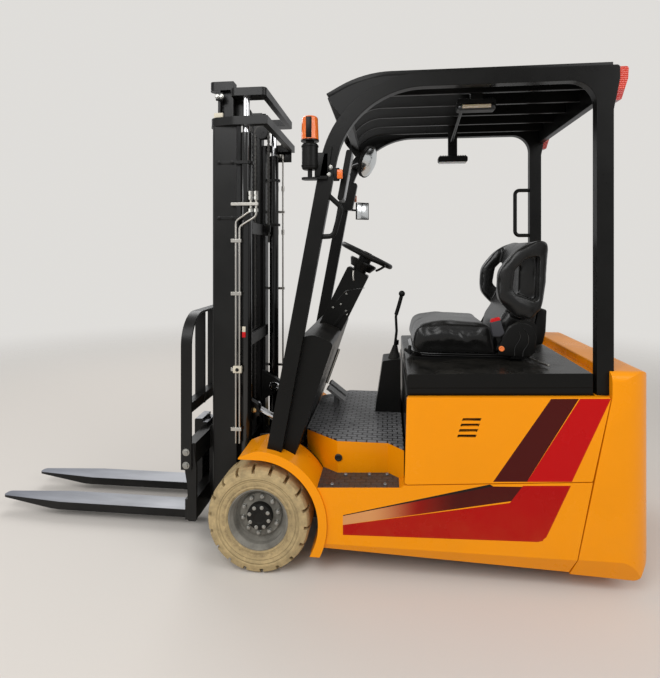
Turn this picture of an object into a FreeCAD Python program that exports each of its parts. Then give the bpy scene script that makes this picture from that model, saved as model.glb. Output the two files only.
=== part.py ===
import FreeCAD, Part
import math
import os
from FreeCAD import Vector

# Electric counterbalance forklift with a two-stage mast and one steered pair of rear wheels.
# Millimetres. While it is modelled, X is measured forward from the front axle, Y to the left
# and Z up from the floor. On export every piece is moved so that the origin is at the bottom
# centre of the whole machine.

# Overall reach
FORK_TIP_X = 1492.0
TAIL_X = -1640.0
CENTRE_X = (FORK_TIP_X + TAIL_X) / 2

# Clearances shared by the whole machine
FIT_GAP = 0.3
RAIL_GAP = 6.0
SHUT_GAP = 4.0

# Front wheels
TYRE_RADIUS = 226.0
TYRE_WIDTH = 190.0
TYRE_OUTER_Y = 536.0
TYRE_CENTRE_Y = TYRE_OUTER_Y - TYRE_WIDTH / 2
TYRE_INNER_Y = TYRE_OUTER_Y - TYRE_WIDTH
LUG_COUNT = 18
LUG_GAP = 14.0
LUG_DEPTH = 22.0
LUG_REACH = 62.0
RIM_RADIUS = 133.0
RIM_INSET = 14.0
RIM_BED = 15.0
RIM_DISC_Y = 462.0
RIM_DISC_THICKNESS = 12.0
STUD_RING_RADIUS = 96.0
STUD_RING_HEIGHT = 9.0
HUB_RADIUS = 56.0
HUB_FACE_Y = 500.0
SHAFT_RADIUS = 30.0
SHAFT_DEPTH = 60.0

# Drive axle
AXLE_Z = TYRE_RADIUS
AXLE_RADIUS = 66.0
AXLE_END_Y = 432.0
MOTOR_RADIUS = 88.0
MOTOR_X = -150.0
MOTOR_RISE = 20.0
MOTOR_INNER_Y = 60.0
MOTOR_OUTER_Y = 230.0
GEARBOX_WIDTH = 65.0

# Rear wheels and steering
REAR_TYRE_RADIUS = 190.0
REAR_TYRE_WIDTH = 112.0
REAR_TYRE_Y = 92.0
REAR_RIM_RADIUS = 104.0
REAR_SHAFT_RADIUS = 25.0
CARRIER_THICKNESS = 46.0
TURNTABLE_RADIUS = 135.0
TURNTABLE_Z = 412.0
TURNTABLE_THICKNESS = 26.0
KINGPIN_RADIUS = 30.0
KINGPIN_HEIGHT = 84.0
WELL_RADIUS = 262.0
WELL_TOP_Z = TURNTABLE_Z + TURNTABLE_THICKNESS + FIT_GAP

# Body
BODY_Y = 530.0
FENDER_Y = 540.0
SILL_INNER_Y = 430.0
SILL_BEVEL = 34.0
ARCH_RADIUS = TYRE_RADIUS + 39.0
ARCH_THICKNESS = 38.0
ARCH_OUTER = ARCH_RADIUS + ARCH_THICKNESS
FENDER_TIP_X = 82.0
FENDER_TIP_THICKNESS = 8.0
FENDER_FOOT_Z = 93.0
STEP_Z = 379.0
STEP_X = -200.0
STEP_REAR_X = -612.0
STEP_SLOPE = 0.0535
TREAD_THICKNESS = 8.0
TREAD_EDGE = 4.0
SEAM_X = -1446.0
SEAM_Z = 806.0
SEAM_LOW_X = -1317.0
SEAM_LOW_Z = 150.0
SEAM_FOOT_X = -1294.0
SEAM_FOOT_Z = 74.0
PANEL_FRONT_X = -628.0
PANEL_THICKNESS = 26.0
PANEL_INNER_Y = BODY_Y - PANEL_THICKNESS
PANEL_FOOT_Z = 411.0
PANEL_FOOT_REAR_Z = 462.0
VENT_COUNT = 4
VENT_FRONT_X = -841.0
VENT_LOW_Z = 629.0
VENT_LENGTH = 74.0
VENT_HEIGHT = 14.0
VENT_DEPTH = 16.0
VENT_PITCH = 22.7
VENT_SHIFT = 6.5

# Floor
FLOOR_Z = 545.0
MAT_THICKNESS = 8.0
FLOOR_THICKNESS = 10.0
FLOOR_UNDER_Z = FLOOR_Z - MAT_THICKNESS - FLOOR_THICKNESS
FLOOR_FRONT_X = -176.0
FLOOR_WALL = 12.0
FLOOR_WALL_Z = 366.0
FLOOR_WALL_LEAN = 26.0

# Counterweight
WEIGHT_TOP_Z = 905.0
WEIGHT_CORNER = 150.0
WEIGHT_SHELF_Z = 770.0
POST_POCKET_Z = 804.0
JAW_DEPTH = 85.0
JAW_HALF = 45.0
JAW_LOW_Z = 545.0
JAW_HIGH_Z = 595.0
JAW_WALL = 45.0
TOW_PIN_RADIUS = 13.0
TOW_PIN_SETBACK = 50.0
TOW_WELL_RADIUS = 20.0
HINGE_BAR_Z = POST_POCKET_Z + 62

# Hood and seat
HOOD_FRONT_X = -640.0
HOOD_REAR_X = -1384.0
HOOD_FRONT_Z = 781.0
HOOD_SLOPE = math.tan(math.radians(1.85))
HOOD_HEIGHT = 87.0
HOOD_Y = 500.0
HOOD_WALL = 14.0
HINGE_X = -1380.0
SEAT_PLATE = 12.0
SEAT_DECK_Z = 906.0
CUSHION_HALF = 232.0
CUSHION_REAR_X = -1060.0
BACK_HALF = 190.0
WING_OUTER_Y = 248.0
RECLINER_THICKNESS = 28.0

# Frame, battery and its tray
FRAME_INNER_Y = 318.0
FRAME_THICKNESS = 12.0
FRAME_OUTER_Y = FRAME_INNER_Y + FRAME_THICKNESS
FRAME_LOW_Z = 150.0
FRAME_FRONT_X = 40.0
FRAME_RISE_X = -310.0
SHELF_FRONT_X = -84.0
SHELF_REAR_X = -165.0
SHELF_THICKNESS = 12.0
BATTERY_LENGTH = 420.0
BATTERY_WIDTH = 824.0
BATTERY_HEIGHT = 560.0
BATTERY_GAP = 3.0
BATTERY_HEADROOM = 29.0
TRAY_FRONT_X = -636.0
TRAY_WALL = 12.0
TRAY_REAR_X = TRAY_FRONT_X - 2 * (TRAY_WALL + BATTERY_GAP) - BATTERY_LENGTH
TRAY_FLOOR_Z = HOOD_FRONT_Z - BATTERY_HEADROOM - BATTERY_HEIGHT - TRAY_WALL
WELL_SETBACK = 254.0
REAR_AXLE_X = TRAY_REAR_X - WELL_SETBACK
CUTTER_TOP_Z = 1000.0

# Overhead guard
GUARD_Y = 500.0
GUARD_TUBE_Y = 42.0
GUARD_INNER_Y = GUARD_Y - GUARD_TUBE_Y
GUARD_MID_Y = GUARD_Y - GUARD_TUBE_Y / 2
GUARD_TOP_Z = 2140.0
GUARD_RAIL = 58.0
LEG_FOOT = (-31.0, 506.0)
LEG_WIDTH = 67.0
LEG_LEAN = math.tan(math.radians(10.7))
POST_REAR_X = -1464.0
POST_DEPTH = 65.0
POST_GUSSET = 100.0
REAR_BAR_DROP = 110.0
GUARD_TAIL = 24.0
GUARD_TAIL_DROP = 55.0
GUARD_TAIL_FOOT = 180.0
GUARD_BEND = 440.0
ROOF_BAR_YS = (-368, -184, 0, 184, 368)
ROOF_BAR_BEND = 174.0
ROOF_BAR_SETBACK = 190.0
ROOF_BAR_TURN = 52.5
ROOF_BAR_THICKNESS = 16.0
ROOF_BAR_HEIGHT = 56.0
ROOF_COVER_Z = GUARD_TOP_Z + 1
ROOF_COVER_THICKNESS = 5.0
CROSSBAR_HEIGHT = 62.0
CROSSBAR_THICKNESS = 14.0
VISOR_REACH = 44.0
VISOR_DROP = 85.0
VISOR_BEND = 460.0
CHEEK_THICKNESS = 5.0
HANDLE_RADIUS = 11.0

# Lamps and mirrors
BEACON_AHEAD = 31.0
BEACON_RADIUS = 39.0
BEACON_BODY_RADIUS = 35.0
BEACON_ARM_Z = GUARD_TOP_Z - 444
BEACON_ARM_THICKNESS = 8.0
BEACON_BODY_Z = BEACON_ARM_Z + 42
BEACON_NECK_Z = BEACON_ARM_Z + 156
BEACON_LENS_Z = BEACON_ARM_Z + 171
BEACON_TOP_Z = BEACON_ARM_Z + 272
LAMP_LENGTH = 168.0
LAMP_DEPTH = 48.0
LAMP_TIE_DROP = 112.0
LAMP_TIE_RADIUS = 7.0
ROUND_MIRROR_RADIUS = 92.0
ROUND_MIRROR_DOME = 34.0

# Mast
MAST_FRONT_X = 276.0
MAST_REAR_X = 156.0
MAST_OUTER_Y = 322.0
MAST_WEB = 14.0
MAST_FLANGE = 16.0
MAST_INNER_Y = 242.0
MAST_FOOT_Z = 72.0
MAST_HEAD_Z = 2025.0
HEAD_TIE_HEIGHT = 40.0
HEAD_TIE_FRONT_X = 294.0
HEAD_TIE_Y = 346.0
INNER_FLANGE = 12.0
INNER_WEB = 9.0
INNER_WEB_OUTER_Y = 275.0
INNER_FOOT_Z = 96.0
INNER_FLANGE_FOOT_Z = 190.0
INNER_HEAD_Z = MAST_HEAD_Z + 180
INNER_CAP_HEIGHT = 42.0
INNER_CAP_FRONT_X = 298.0
LIFT_TIE_Z = MAST_HEAD_Z + 100
LIFT_TIE_HEIGHT = 38.0
LIFT_TIE_REAR_X = 11.0
LIFT_CYLINDER_X = 116.0
LIFT_CYLINDER_Y = 296.0
LIFT_BARREL_RADIUS = 27.0
LIFT_BARREL_TOP_Z = MAST_HEAD_Z - 70
LIFT_BARREL_FOOT_Z = 100.0
LIFT_ROD_RADIUS = 17.0
ROLLER_Z = INNER_FOOT_Z + 45
TOP_ROLLER_Z = MAST_HEAD_Z - 75
HOOK_INNER_Y = 244.0
HOOK_THICKNESS = 24.0
STRAP_ZS = (1540.0, 1804.0)

# Lift chains
CHAIN_Y = 187.0
CHAIN_WIDTH = 20.0
CHAIN_DEPTH = 12.0
CHAIN_PITCH = 25.0
SHEAVE_X = 161.0
SHEAVE_Z = MAST_HEAD_Z + 47
CHAIN_TURN = 38.0
CHAIN_REAR_END_Z = 1540.0
CHAIN_FRONT_END_Z = 545.0

# Steel pipes on the mast
PIPE_RADIUS = 5.0
PIPE_Y = 332.0
PIPE_CLAMP_ZS = (540.0, 822.0, 1180.0, 1430.0)
RIGHT_PIPE_XS = (104.0, 70.0)
RIGHT_PIPE_TOP_Z = MAST_HEAD_Z - 52
RIGHT_PIPE_FOOT_Z = 640.0
RIGHT_PIPE_CLAMP_ZS = (700.0, 1160.0, 1620.0)
RIGHT_PIPE_JOINT_ZS = (1505.0, 1767.0)

# Carriage and forks
CARRIAGE_BACK_X = 320.0
CARRIAGE_BAR = 50.0
CARRIAGE_HALF = 425.0
CARRIAGE_TOP_Z = 505.0
CARRIAGE_LOW_Z = 150.0
BAR_HEIGHT = 95.0
SIDE_PLATE_X = 198.0
SIDE_PLATE_Y = 205.0
SIDE_PLATE_THICKNESS = 21.0
CARRIAGE_ROLLER_ZS = (210.0, 475.0)
BACKREST_BAR = 10.0
BACKREST_DEPTH = 50.0
BACKREST_SETBACK = 14.0
BACKREST_BEND = 150.0
BACKREST_TOP_Z = 1100.0
BACKREST_FOOT_Z = 386.0
BACKREST_CROSSBAR_Z = 645.0
BACKREST_UPRIGHT_YS = (-258.0, -86.0, 86.0, 258.0)
FORK_WIDTH = 120.0
FORK_Y = 143.0
FORK_THICKNESS = 40.0
FORK_TIP_THICKNESS = 10.0
FORK_TOP_Z = 82.0
FORK_SHANK_TOP = 545.0
FORK_HOOK_HEIGHT = 23.0
FORK_HOOK_REACH = 26.0

# Tilt cylinders
TILT_PIN = (92.0, 612.0)
TILT_REAR_PIN = (-300.0, 410.0)
TILT_Y = 200.0
TILT_BARREL_RADIUS = 32.0
TILT_BARREL_END = 300.0
TILT_ROD_RADIUS = 16.0
TILT_PIN_RADIUS = 13.0
TILT_EYE_RADIUS = 26.0
TILT_EYE_WIDTH = 30.0
TILT_EYE_PLAY = 0.9
TILT_EAR_THICKNESS = 36.0
TILT_SLOT_HALF = 42.0
TILT_LENGTH = math.hypot(TILT_PIN[0] - TILT_REAR_PIN[0], TILT_PIN[1] - TILT_REAR_PIN[1])

# Steering column
WHEEL_CENTRE = (-450.0, 1367.0)
WHEEL_RADIUS = 147.0
WHEEL_GRIP = 13.0
WHEEL_LEAN = 26.5
COLUMN_HALF = 55.0
COLUMN_TOP = 92.0
NECK_TOP = 48.0
NECK_RADIUS = 36.0

AXIS = {
    "xz": (lambda a, b, c: Vector(a, c, b), Vector(0, 1, 0)),
    "xy": (lambda a, b, c: Vector(a, b, c), Vector(0, 0, 1)),
    "yz": (lambda a, b, c: Vector(c, a, b), Vector(1, 0, 0)),
}


def outline(corners, plane, at):
    """A closed face. Each corner is (a, b) or (a, b, radius of its rounding)."""
    place = AXIS[plane][0]
    count = len(corners)
    runs = []
    for index, corner in enumerate(corners):
        here = Vector(corner[0], corner[1], 0)
        radius = corner[2] if len(corner) > 2 else 0
        if not radius:
            runs.append((here, None, here))
            continue
        before = corners[index - 1]
        after = corners[(index + 1) % count]
        back = (Vector(before[0], before[1], 0) - here).normalize()
        ahead = (Vector(after[0], after[1], 0) - here).normalize()
        half = back.getAngle(ahead) / 2
        reach = radius / math.tan(half)
        centre = here + (back + ahead).normalize() * (radius / math.sin(half))
        middle = centre + (here - centre).normalize() * radius
        runs.append((here + back * reach, middle, here + ahead * reach))
    edges = []
    for index, (start, middle, end) in enumerate(runs):
        if middle is not None:
            points = [place(p.x, p.y, at) for p in (start, middle, end)]
            edges.append(Part.Arc(*points).toShape())
        following = runs[(index + 1) % count][0]
        if (following - end).Length > 1e-6:
            line = Part.LineSegment(place(end.x, end.y, at), place(following.x, following.y, at))
            edges.append(line.toShape())
    return Part.Face(Part.Wire(edges))


def prism(corners, plane, low, high):
    """A closed outline in a plane, extruded from low to high across it."""
    return outline(corners, plane, low).extrude(AXIS[plane][1] * (high - low))


def box(x0, x1, y0, y1, z0, z1):
    return Part.makeBox(x1 - x0, y1 - y0, z1 - z0, Vector(x0, y0, z0))


def rod(radius, start, end):
    """A round bar between two points."""
    start = Vector(*start)
    end = Vector(*end)
    return Part.makeCylinder(radius, (end - start).Length, start, end - start)


def cross_rod(radius, x, z, y0, y1):
    """A round bar along Y."""
    return rod(radius, (x, y0, z), (x, y1, z))


def post(radius, x, y, z0, z1):
    """An upright round bar."""
    return rod(radius, (x, y, z0), (x, y, z1))


def turned(profile, centre_x, centre_z):
    """A body turned about an axis along Y. The profile is (radius, y) corners."""
    points = [Vector(centre_x, y, centre_z + radius) for radius, y in profile]
    face = Part.Face(Part.makePolygon(points + points[:1]))
    return face.revolve(Vector(centre_x, 0, centre_z), Vector(0, 1, 0), 360)


def block_between(low, high):
    """A solid with flat sides between a lower and an upper ring of as many points."""
    rings = [low + low[:1], high + high[:1]]
    faces = [Part.Face(Part.makePolygon(ring)) for ring in rings]
    for index in range(len(low)):
        after = (index + 1) % len(low)
        corners = [low[index], low[after], high[after], high[index], low[index]]
        faces.append(Part.Face(Part.makePolygon(corners)))
    return Part.makeSolid(Part.makeShell(faces))


def tube(points, radius, bend):
    """A round tube along straight runs joined by tangent arcs."""
    points = [Vector(*p) for p in points]
    edges = []
    start = points[0]
    for index in range(1, len(points) - 1):
        corner = points[index]
        back = (points[index - 1] - corner).normalize()
        ahead = (points[index + 1] - corner).normalize()
        half = back.getAngle(ahead) / 2
        reach = bend / math.tan(half)
        centre = corner + (back + ahead).normalize() * (bend / math.sin(half))
        middle = centre + (corner - centre).normalize() * bend
        edges.append(Part.LineSegment(start, corner + back * reach).toShape())
        edges.append(Part.Arc(corner + back * reach, middle, corner + ahead * reach).toShape())
        start = corner + ahead * reach
    edges.append(Part.LineSegment(start, points[-1]).toShape())
    path = Part.Wire(edges)
    ring = Part.Wire(Part.makeCircle(radius, points[0], points[1] - points[0]))
    return path.makePipeShell([ring], True, False)


def fused(shapes):
    result = shapes[0].multiFuse(shapes[1:]) if len(shapes) > 1 else shapes[0]
    return result.removeSplitter()


def cut(shape, tools):
    return shape.cut(Part.makeCompound(tools))


def other_side(shape):
    return shape.mirror(Vector(0, 0, 0), Vector(0, 1, 0))


def both_sides(shape):
    """The tools or pieces for the left and the right."""
    return [shape, other_side(shape)]


def pair(shape):
    """Like pieces on the left and right, kept as solids that don't touch."""
    return Part.makeCompound(both_sides(shape))


def save(name, shape):
    moved = shape.copy()
    moved.translate(Vector(-CENTRE_X, 0, 0))
    solids = moved.Solids
    result = solids[0] if len(solids) == 1 else Part.makeCompound(solids)
    result.exportStep("parts/" + name + ".step")
    print(name, len(solids), round(moved.Volume / 1e6, 2), moved.isValid())


# Front wheels
def front_tyre():
    half = TYRE_WIDTH / 2
    y = TYRE_CENTRE_Y
    bore = RIM_RADIUS + FIT_GAP
    shoulder = TYRE_RADIUS - 34
    profile = [
        (bore, y - half + 12), (shoulder, y - half), (TYRE_RADIUS - 8, y - half + 6),
        (TYRE_RADIUS, y - half + 26), (TYRE_RADIUS, y + half - 26), (TYRE_RADIUS - 8, y + half - 6),
        (shoulder, y + half), (bore, y + half - 12),
    ]
    tyre = turned(profile, 0, AXLE_Z)
    notch = box(-LUG_GAP / 2, LUG_GAP / 2, 0, LUG_REACH + 10, TYRE_RADIUS - LUG_DEPTH, TYRE_RADIUS + 10)
    notches = []
    for index in range(LUG_COUNT):
        for side, phase in ((1, 0.25), (-1, 0.75)):
            groove = notch.copy() if side > 0 else other_side(notch)
            groove.translate(Vector(0, y + side * (half - LUG_REACH), AXLE_Z))
            angle = (index + phase) * 360 / LUG_COUNT
            groove.rotate(Vector(0, 0, AXLE_Z), Vector(0, 1, 0), angle)
            notches.append(groove)
    return cut(tyre, notches)


def front_rim():
    """The deep-dished rim with its stud ring, the hub and the shaft that runs in the axle."""
    outer_y = TYRE_OUTER_Y - RIM_INSET
    inner_y = TYRE_INNER_Y + RIM_INSET
    bed = RIM_RADIUS - RIM_BED
    disc_back = RIM_DISC_Y - RIM_DISC_THICKNESS
    ring_face = RIM_DISC_Y + STUD_RING_HEIGHT
    shaft = SHAFT_RADIUS - FIT_GAP
    shaft_end = AXLE_END_Y - SHAFT_DEPTH
    profile = [
        (0, HUB_FACE_Y), (HUB_RADIUS - 12, HUB_FACE_Y), (HUB_RADIUS - 3, HUB_FACE_Y - 7),
        (HUB_RADIUS, HUB_FACE_Y - 20), (HUB_RADIUS, ring_face), (STUD_RING_RADIUS - 4, ring_face),
        (STUD_RING_RADIUS, ring_face - 4), (STUD_RING_RADIUS, RIM_DISC_Y), (bed - 9, RIM_DISC_Y),
        (bed - 3, RIM_DISC_Y + 16), (bed - 3, outer_y - 18), (bed + 4, outer_y - 8),
        (RIM_RADIUS - 6, outer_y), (RIM_RADIUS, outer_y), (RIM_RADIUS, inner_y), (bed + 6, inner_y),
        (bed, inner_y + 12), (bed - 3, disc_back - 20), (bed - 9, disc_back), (shaft, disc_back),
        (shaft, shaft_end), (0, shaft_end),
    ]
    return turned(profile, 0, AXLE_Z)


# Drive axle between the front wheels
def drive_axle():
    pieces = [cross_rod(AXLE_RADIUS, 0, AXLE_Z, -AXLE_END_Y, AXLE_END_Y)]
    motor_z = AXLE_Z + MOTOR_RISE
    motor = cross_rod(MOTOR_RADIUS, MOTOR_X, motor_z, MOTOR_INNER_Y, MOTOR_OUTER_Y)
    gearbox = prism(
        [
            (MOTOR_X, motor_z - MOTOR_RADIUS), (0, AXLE_Z - AXLE_RADIUS), (40, AXLE_Z - 30, 20),
            (40, AXLE_Z + 30, 20), (0, AXLE_Z + AXLE_RADIUS + 14), (MOTOR_X, motor_z + MOTOR_RADIUS),
        ],
        "xz", MOTOR_OUTER_Y - GEARBOX_WIDTH, MOTOR_OUTER_Y,
    )
    pieces += both_sides(motor) + both_sides(gearbox)
    bore = cross_rod(SHAFT_RADIUS, 0, AXLE_Z, AXLE_END_Y - SHAFT_DEPTH - 10, AXLE_END_Y + 1)
    return cut(fused(pieces), both_sides(bore))


# Rear steering
def rear_tyres():
    half = REAR_TYRE_WIDTH / 2
    bore = REAR_RIM_RADIUS + FIT_GAP
    profile = [
        (bore, REAR_TYRE_Y - half + 8), (REAR_TYRE_RADIUS - 20, REAR_TYRE_Y - half),
        (REAR_TYRE_RADIUS, REAR_TYRE_Y - half + 16), (REAR_TYRE_RADIUS, REAR_TYRE_Y + half - 16),
        (REAR_TYRE_RADIUS - 20, REAR_TYRE_Y + half), (bore, REAR_TYRE_Y + half - 8),
    ]
    return pair(turned(profile, REAR_AXLE_X, REAR_TYRE_RADIUS))


def rear_rims():
    half = REAR_TYRE_WIDTH / 2
    inner = REAR_TYRE_Y - half + 10
    outer = REAR_TYRE_Y + half - 10
    profile = [
        (REAR_RIM_RADIUS, outer), (REAR_RIM_RADIUS, inner), (REAR_RIM_RADIUS - 8, inner),
        (REAR_RIM_RADIUS - 12, REAR_TYRE_Y - 12), (REAR_SHAFT_RADIUS - 2, REAR_TYRE_Y - 12),
        (REAR_SHAFT_RADIUS - 2, REAR_TYRE_Y + 30), (REAR_SHAFT_RADIUS + 20, REAR_TYRE_Y + 26),
        (REAR_SHAFT_RADIUS + 26, REAR_TYRE_Y), (REAR_RIM_RADIUS - 12, REAR_TYRE_Y),
        (REAR_RIM_RADIUS - 8, outer),
    ]
    rim = turned(profile, REAR_AXLE_X, REAR_TYRE_RADIUS)
    end = REAR_TYRE_Y + 24
    shaft = cross_rod(REAR_SHAFT_RADIUS, REAR_AXLE_X, REAR_TYRE_RADIUS, -end, end)
    return fused([shaft] + both_sides(rim))


def steer_carrier():
    """Turntable, kingpin and the web that carries the rear wheels' shaft between them."""
    half = CARRIER_THICKNESS / 2
    x = REAR_AXLE_X
    z = REAR_TYRE_RADIUS
    web = prism(
        [(x - 52, z - 40, 38), (x + 52, z - 40, 38), (x + 95, TURNTABLE_Z + 4), (x - 95, TURNTABLE_Z + 4)],
        "xz", -half, half,
    )
    top = TURNTABLE_Z + TURNTABLE_THICKNESS
    disc = post(TURNTABLE_RADIUS, x, 0, TURNTABLE_Z, top)
    kingpin = post(KINGPIN_RADIUS, x, 0, top - 1, top + KINGPIN_HEIGHT)
    bore = cross_rod(REAR_SHAFT_RADIUS + FIT_GAP, x, z, -half - 1, half + 1)
    return cut(fused([web, disc, kingpin]), [bore])


# Body
def step_z(x):
    """The top of the step at a place along it."""
    return STEP_Z + (STEP_X - x) * STEP_SLOPE


def arch_cutter(gap):
    """The cylinder over a front wheel that the pieces around it keep outside of."""
    return cross_rod(ARCH_OUTER + gap, 0, AXLE_Z, FRAME_INNER_Y, FENDER_Y + 20)


def sill():
    corners = [
        (STEP_X, STEP_Z), (STEP_REAR_X, step_z(STEP_REAR_X)), (PANEL_FRONT_X + 3, PANEL_FOOT_Z),
        (SEAM_X + 74, PANEL_FOOT_REAR_Z), (SEAM_LOW_X + 4, SEAM_LOW_Z), (SEAM_FOOT_X + 4, SEAM_FOOT_Z + 8),
        (-303, 124), (-240, 124),
    ]
    shell = prism(corners, "xz", SILL_INNER_Y, BODY_Y)
    bevel = prism([(BODY_Y + 1, 70), (BODY_Y + 1, 150), (BODY_Y - SILL_BEVEL, 70)], "yz", -1400, -200)
    return cut(shell, [arch_cutter(FIT_GAP), bevel, tread_slab()])


def floor_corners(inset, front_x, rear_x):
    """The left half of the floor's outline, drawn in by an inset, from front to back."""
    return [
        (front_x, 271 - inset + (front_x - FLOOR_FRONT_X) * -0.848), (-333, 404 - inset),
        (-559, 404 - inset), (rear_x, 480 - inset + (-627 - rear_x) * 1.12),
    ]


def floor_ring(inset, z, front_x, rear_x):
    left = floor_corners(inset, front_x, rear_x)
    right = [(x, -y) for x, y in reversed(left)]
    return [Vector(x, y, z) for x, y in left + right]


def floor_body(inset, low, high, front_x=FLOOR_FRONT_X, rear_x=-627.0):
    """A block with the floor's outline at the top and its leaning walls below."""
    span = FLOOR_Z - FLOOR_WALL_Z
    low_inset = inset + FLOOR_WALL_LEAN * (FLOOR_Z - low) / span
    high_inset = inset + FLOOR_WALL_LEAN * (FLOOR_Z - high) / span
    return block_between(
        floor_ring(low_inset, low, front_x, rear_x), floor_ring(high_inset, high, front_x, rear_x),
    )


def floor_tray():
    """The yellow floor plate with the walls that close its sides down to the steps."""
    outer = floor_body(0, FLOOR_WALL_Z, FLOOR_Z - MAT_THICKNESS)
    hollow = floor_body(FLOOR_WALL, FLOOR_WALL_Z - 10, FLOOR_UNDER_Z, FLOOR_FRONT_X + 20, -647.0)
    return cut(outer, [hollow] + both_sides(arch_cutter(FIT_GAP)) + both_sides(sill()))


def tread_plan():
    return prism(
        [
            (STEP_X, 300), (STEP_X - 40, BODY_Y - TREAD_EDGE), (STEP_REAR_X + 6, BODY_Y - TREAD_EDGE),
            (STEP_REAR_X + 6, 300),
        ],
        "xy", 300, 500,
    )


def tread_slab():
    """The step's tread before it is trimmed to the floor's wall and the wheel arch."""
    front = step_z(STEP_X)
    rear = step_z(STEP_REAR_X)
    slab = prism(
        [
            (STEP_X, front), (STEP_REAR_X, rear), (STEP_REAR_X, rear - TREAD_THICKNESS),
            (STEP_X, front - TREAD_THICKNESS),
        ],
        "xz", 300, BODY_Y,
    )
    return slab.common(tread_plan())


def step_tread():
    """The tread outside the floor's wall, without the sliver that stays on its other side."""
    wall = floor_body(0, FLOOR_WALL_Z - 20, FLOOR_Z)
    pieces = cut(tread_slab(), [wall, arch_cutter(FIT_GAP)]).Solids
    return max(pieces, key=lambda piece: piece.Volume)


def floor_mats():
    mat = floor_body(0, FLOOR_Z - MAT_THICKNESS, FLOOR_Z)
    return Part.makeCompound([mat] + both_sides(step_tread()))


def fender():
    ring = cross_rod(ARCH_OUTER, 0, AXLE_Z, FRAME_OUTER_Y, FENDER_Y)
    ring = cut(ring, [cross_rod(ARCH_RADIUS, 0, AXLE_Z, FRAME_OUTER_Y - 1, FENDER_Y + 1)])
    keep = prism(
        [(-400, FENDER_FOOT_Z), (-400, 600), (0, 600), (0, AXLE_Z), (-200, FENDER_FOOT_Z)],
        "xz", FRAME_OUTER_Y - 1, FENDER_Y + 1,
    )
    under = AXLE_Z + ARCH_RADIUS
    nose = prism(
        [
            (-1, under), (FENDER_TIP_X, under), (FENDER_TIP_X, under + FENDER_TIP_THICKNESS, 4),
            (30, under + ARCH_THICKNESS - 8, 60), (-1, under + ARCH_THICKNESS),
        ],
        "xz", FRAME_OUTER_Y, FENDER_Y,
    )
    return fused([ring.common(keep), nose])


def rear_well():
    return post(WELL_RADIUS, REAR_AXLE_X, 0, 0, WELL_TOP_Z)


def counterweight():
    tail_face = TAIL_X + 8
    side = prism(
        [
            (SEAM_X, WEIGHT_TOP_Z, 6), (TAIL_X + 20, WEIGHT_TOP_Z, 60), (tail_face, 780), (tail_face, 530),
            (TAIL_X, 512), (TAIL_X, 400), (TAIL_X + 20, 220), (TAIL_X + 34, 130), (TAIL_X + 90, 62, 30),
            (SEAM_FOOT_X, SEAM_FOOT_Z), (SEAM_LOW_X, SEAM_LOW_Z), (SEAM_X, SEAM_Z),
        ],
        "xz", -BODY_Y, BODY_Y,
    )
    plan = prism(
        [
            (-1200, -BODY_Y), (-1200, BODY_Y), (TAIL_X + 16, BODY_Y, WEIGHT_CORNER), (TAIL_X, 0),
            (TAIL_X + 16, -BODY_Y, WEIGHT_CORNER),
        ],
        "xy", 0, CUTTER_TOP_Z,
    )
    front = prism(
        [
            (-BODY_Y, WEIGHT_TOP_Z, 40), (-BODY_Y, 150), (-BODY_Y + SILL_BEVEL, 60),
            (BODY_Y - SILL_BEVEL, 60), (BODY_Y, 150), (BODY_Y, WEIGHT_TOP_Z, 40),
        ],
        "yz", -1700, -1200,
    )
    main = side.common(plan).common(front)
    narrow = SILL_INNER_Y
    wide = PANEL_INNER_Y
    split = PANEL_FOOT_REAR_Z + 10
    saddle_low = box(SEAM_X + 30, TRAY_REAR_X, -narrow, narrow, WELL_TOP_Z, split)
    saddle = box(SEAM_X - 10, TRAY_REAR_X, -wide, wide, split, WEIGHT_SHELF_Z)
    ledge = box(SEAM_X - 10, HOOD_REAR_X - 8, -wide, wide, WEIGHT_SHELF_Z, POST_POCKET_Z)
    hinge_bar = box(SEAM_X - 10, HOOD_REAR_X - 10, -400, 400, POST_POCKET_Z, HINGE_BAR_Z)
    block = fused([main, saddle_low, saddle, ledge, hinge_bar])
    pocket = box(
        POST_REAR_X - FIT_GAP, HOOD_REAR_X + 40, GUARD_INNER_Y - FIT_GAP, GUARD_Y + FIT_GAP,
        POST_POCKET_Z, WEIGHT_TOP_Z + 10,
    )
    kingpin = post(KINGPIN_RADIUS + FIT_GAP, REAR_AXLE_X, 0, WELL_TOP_Z - 1, WELL_TOP_Z + KINGPIN_HEIGHT)
    jaw = box(TAIL_X - 10, TAIL_X + JAW_DEPTH, -JAW_HALF, JAW_HALF, JAW_LOW_Z, JAW_HIGH_Z)
    pin_x = TAIL_X + TOW_PIN_SETBACK
    wall_top = JAW_HIGH_Z + JAW_WALL
    tow_hole = post(TOW_PIN_RADIUS, pin_x, 0, JAW_LOW_Z - JAW_WALL, wall_top)
    tow_well = post(TOW_WELL_RADIUS, pin_x, 0, wall_top, WEIGHT_TOP_Z + 10)
    return cut(block, both_sides(pocket) + [rear_well(), kingpin, jaw, tow_hole, tow_well])


def side_panel():
    front = PANEL_FRONT_X
    corners = [
        (front - 9, HOOD_FRONT_Z - 2, 12), (SEAM_X + SHUT_GAP, SEAM_Z - 1, 8),
        (SEAM_X + 74, PANEL_FOOT_REAR_Z + SHUT_GAP, 8), (front, PANEL_FOOT_Z + SHUT_GAP, 12),
    ]
    panel = prism(corners, "xz", PANEL_INNER_Y, BODY_Y)
    return cut(panel, [vent(index) for index in range(VENT_COUNT)])


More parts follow.
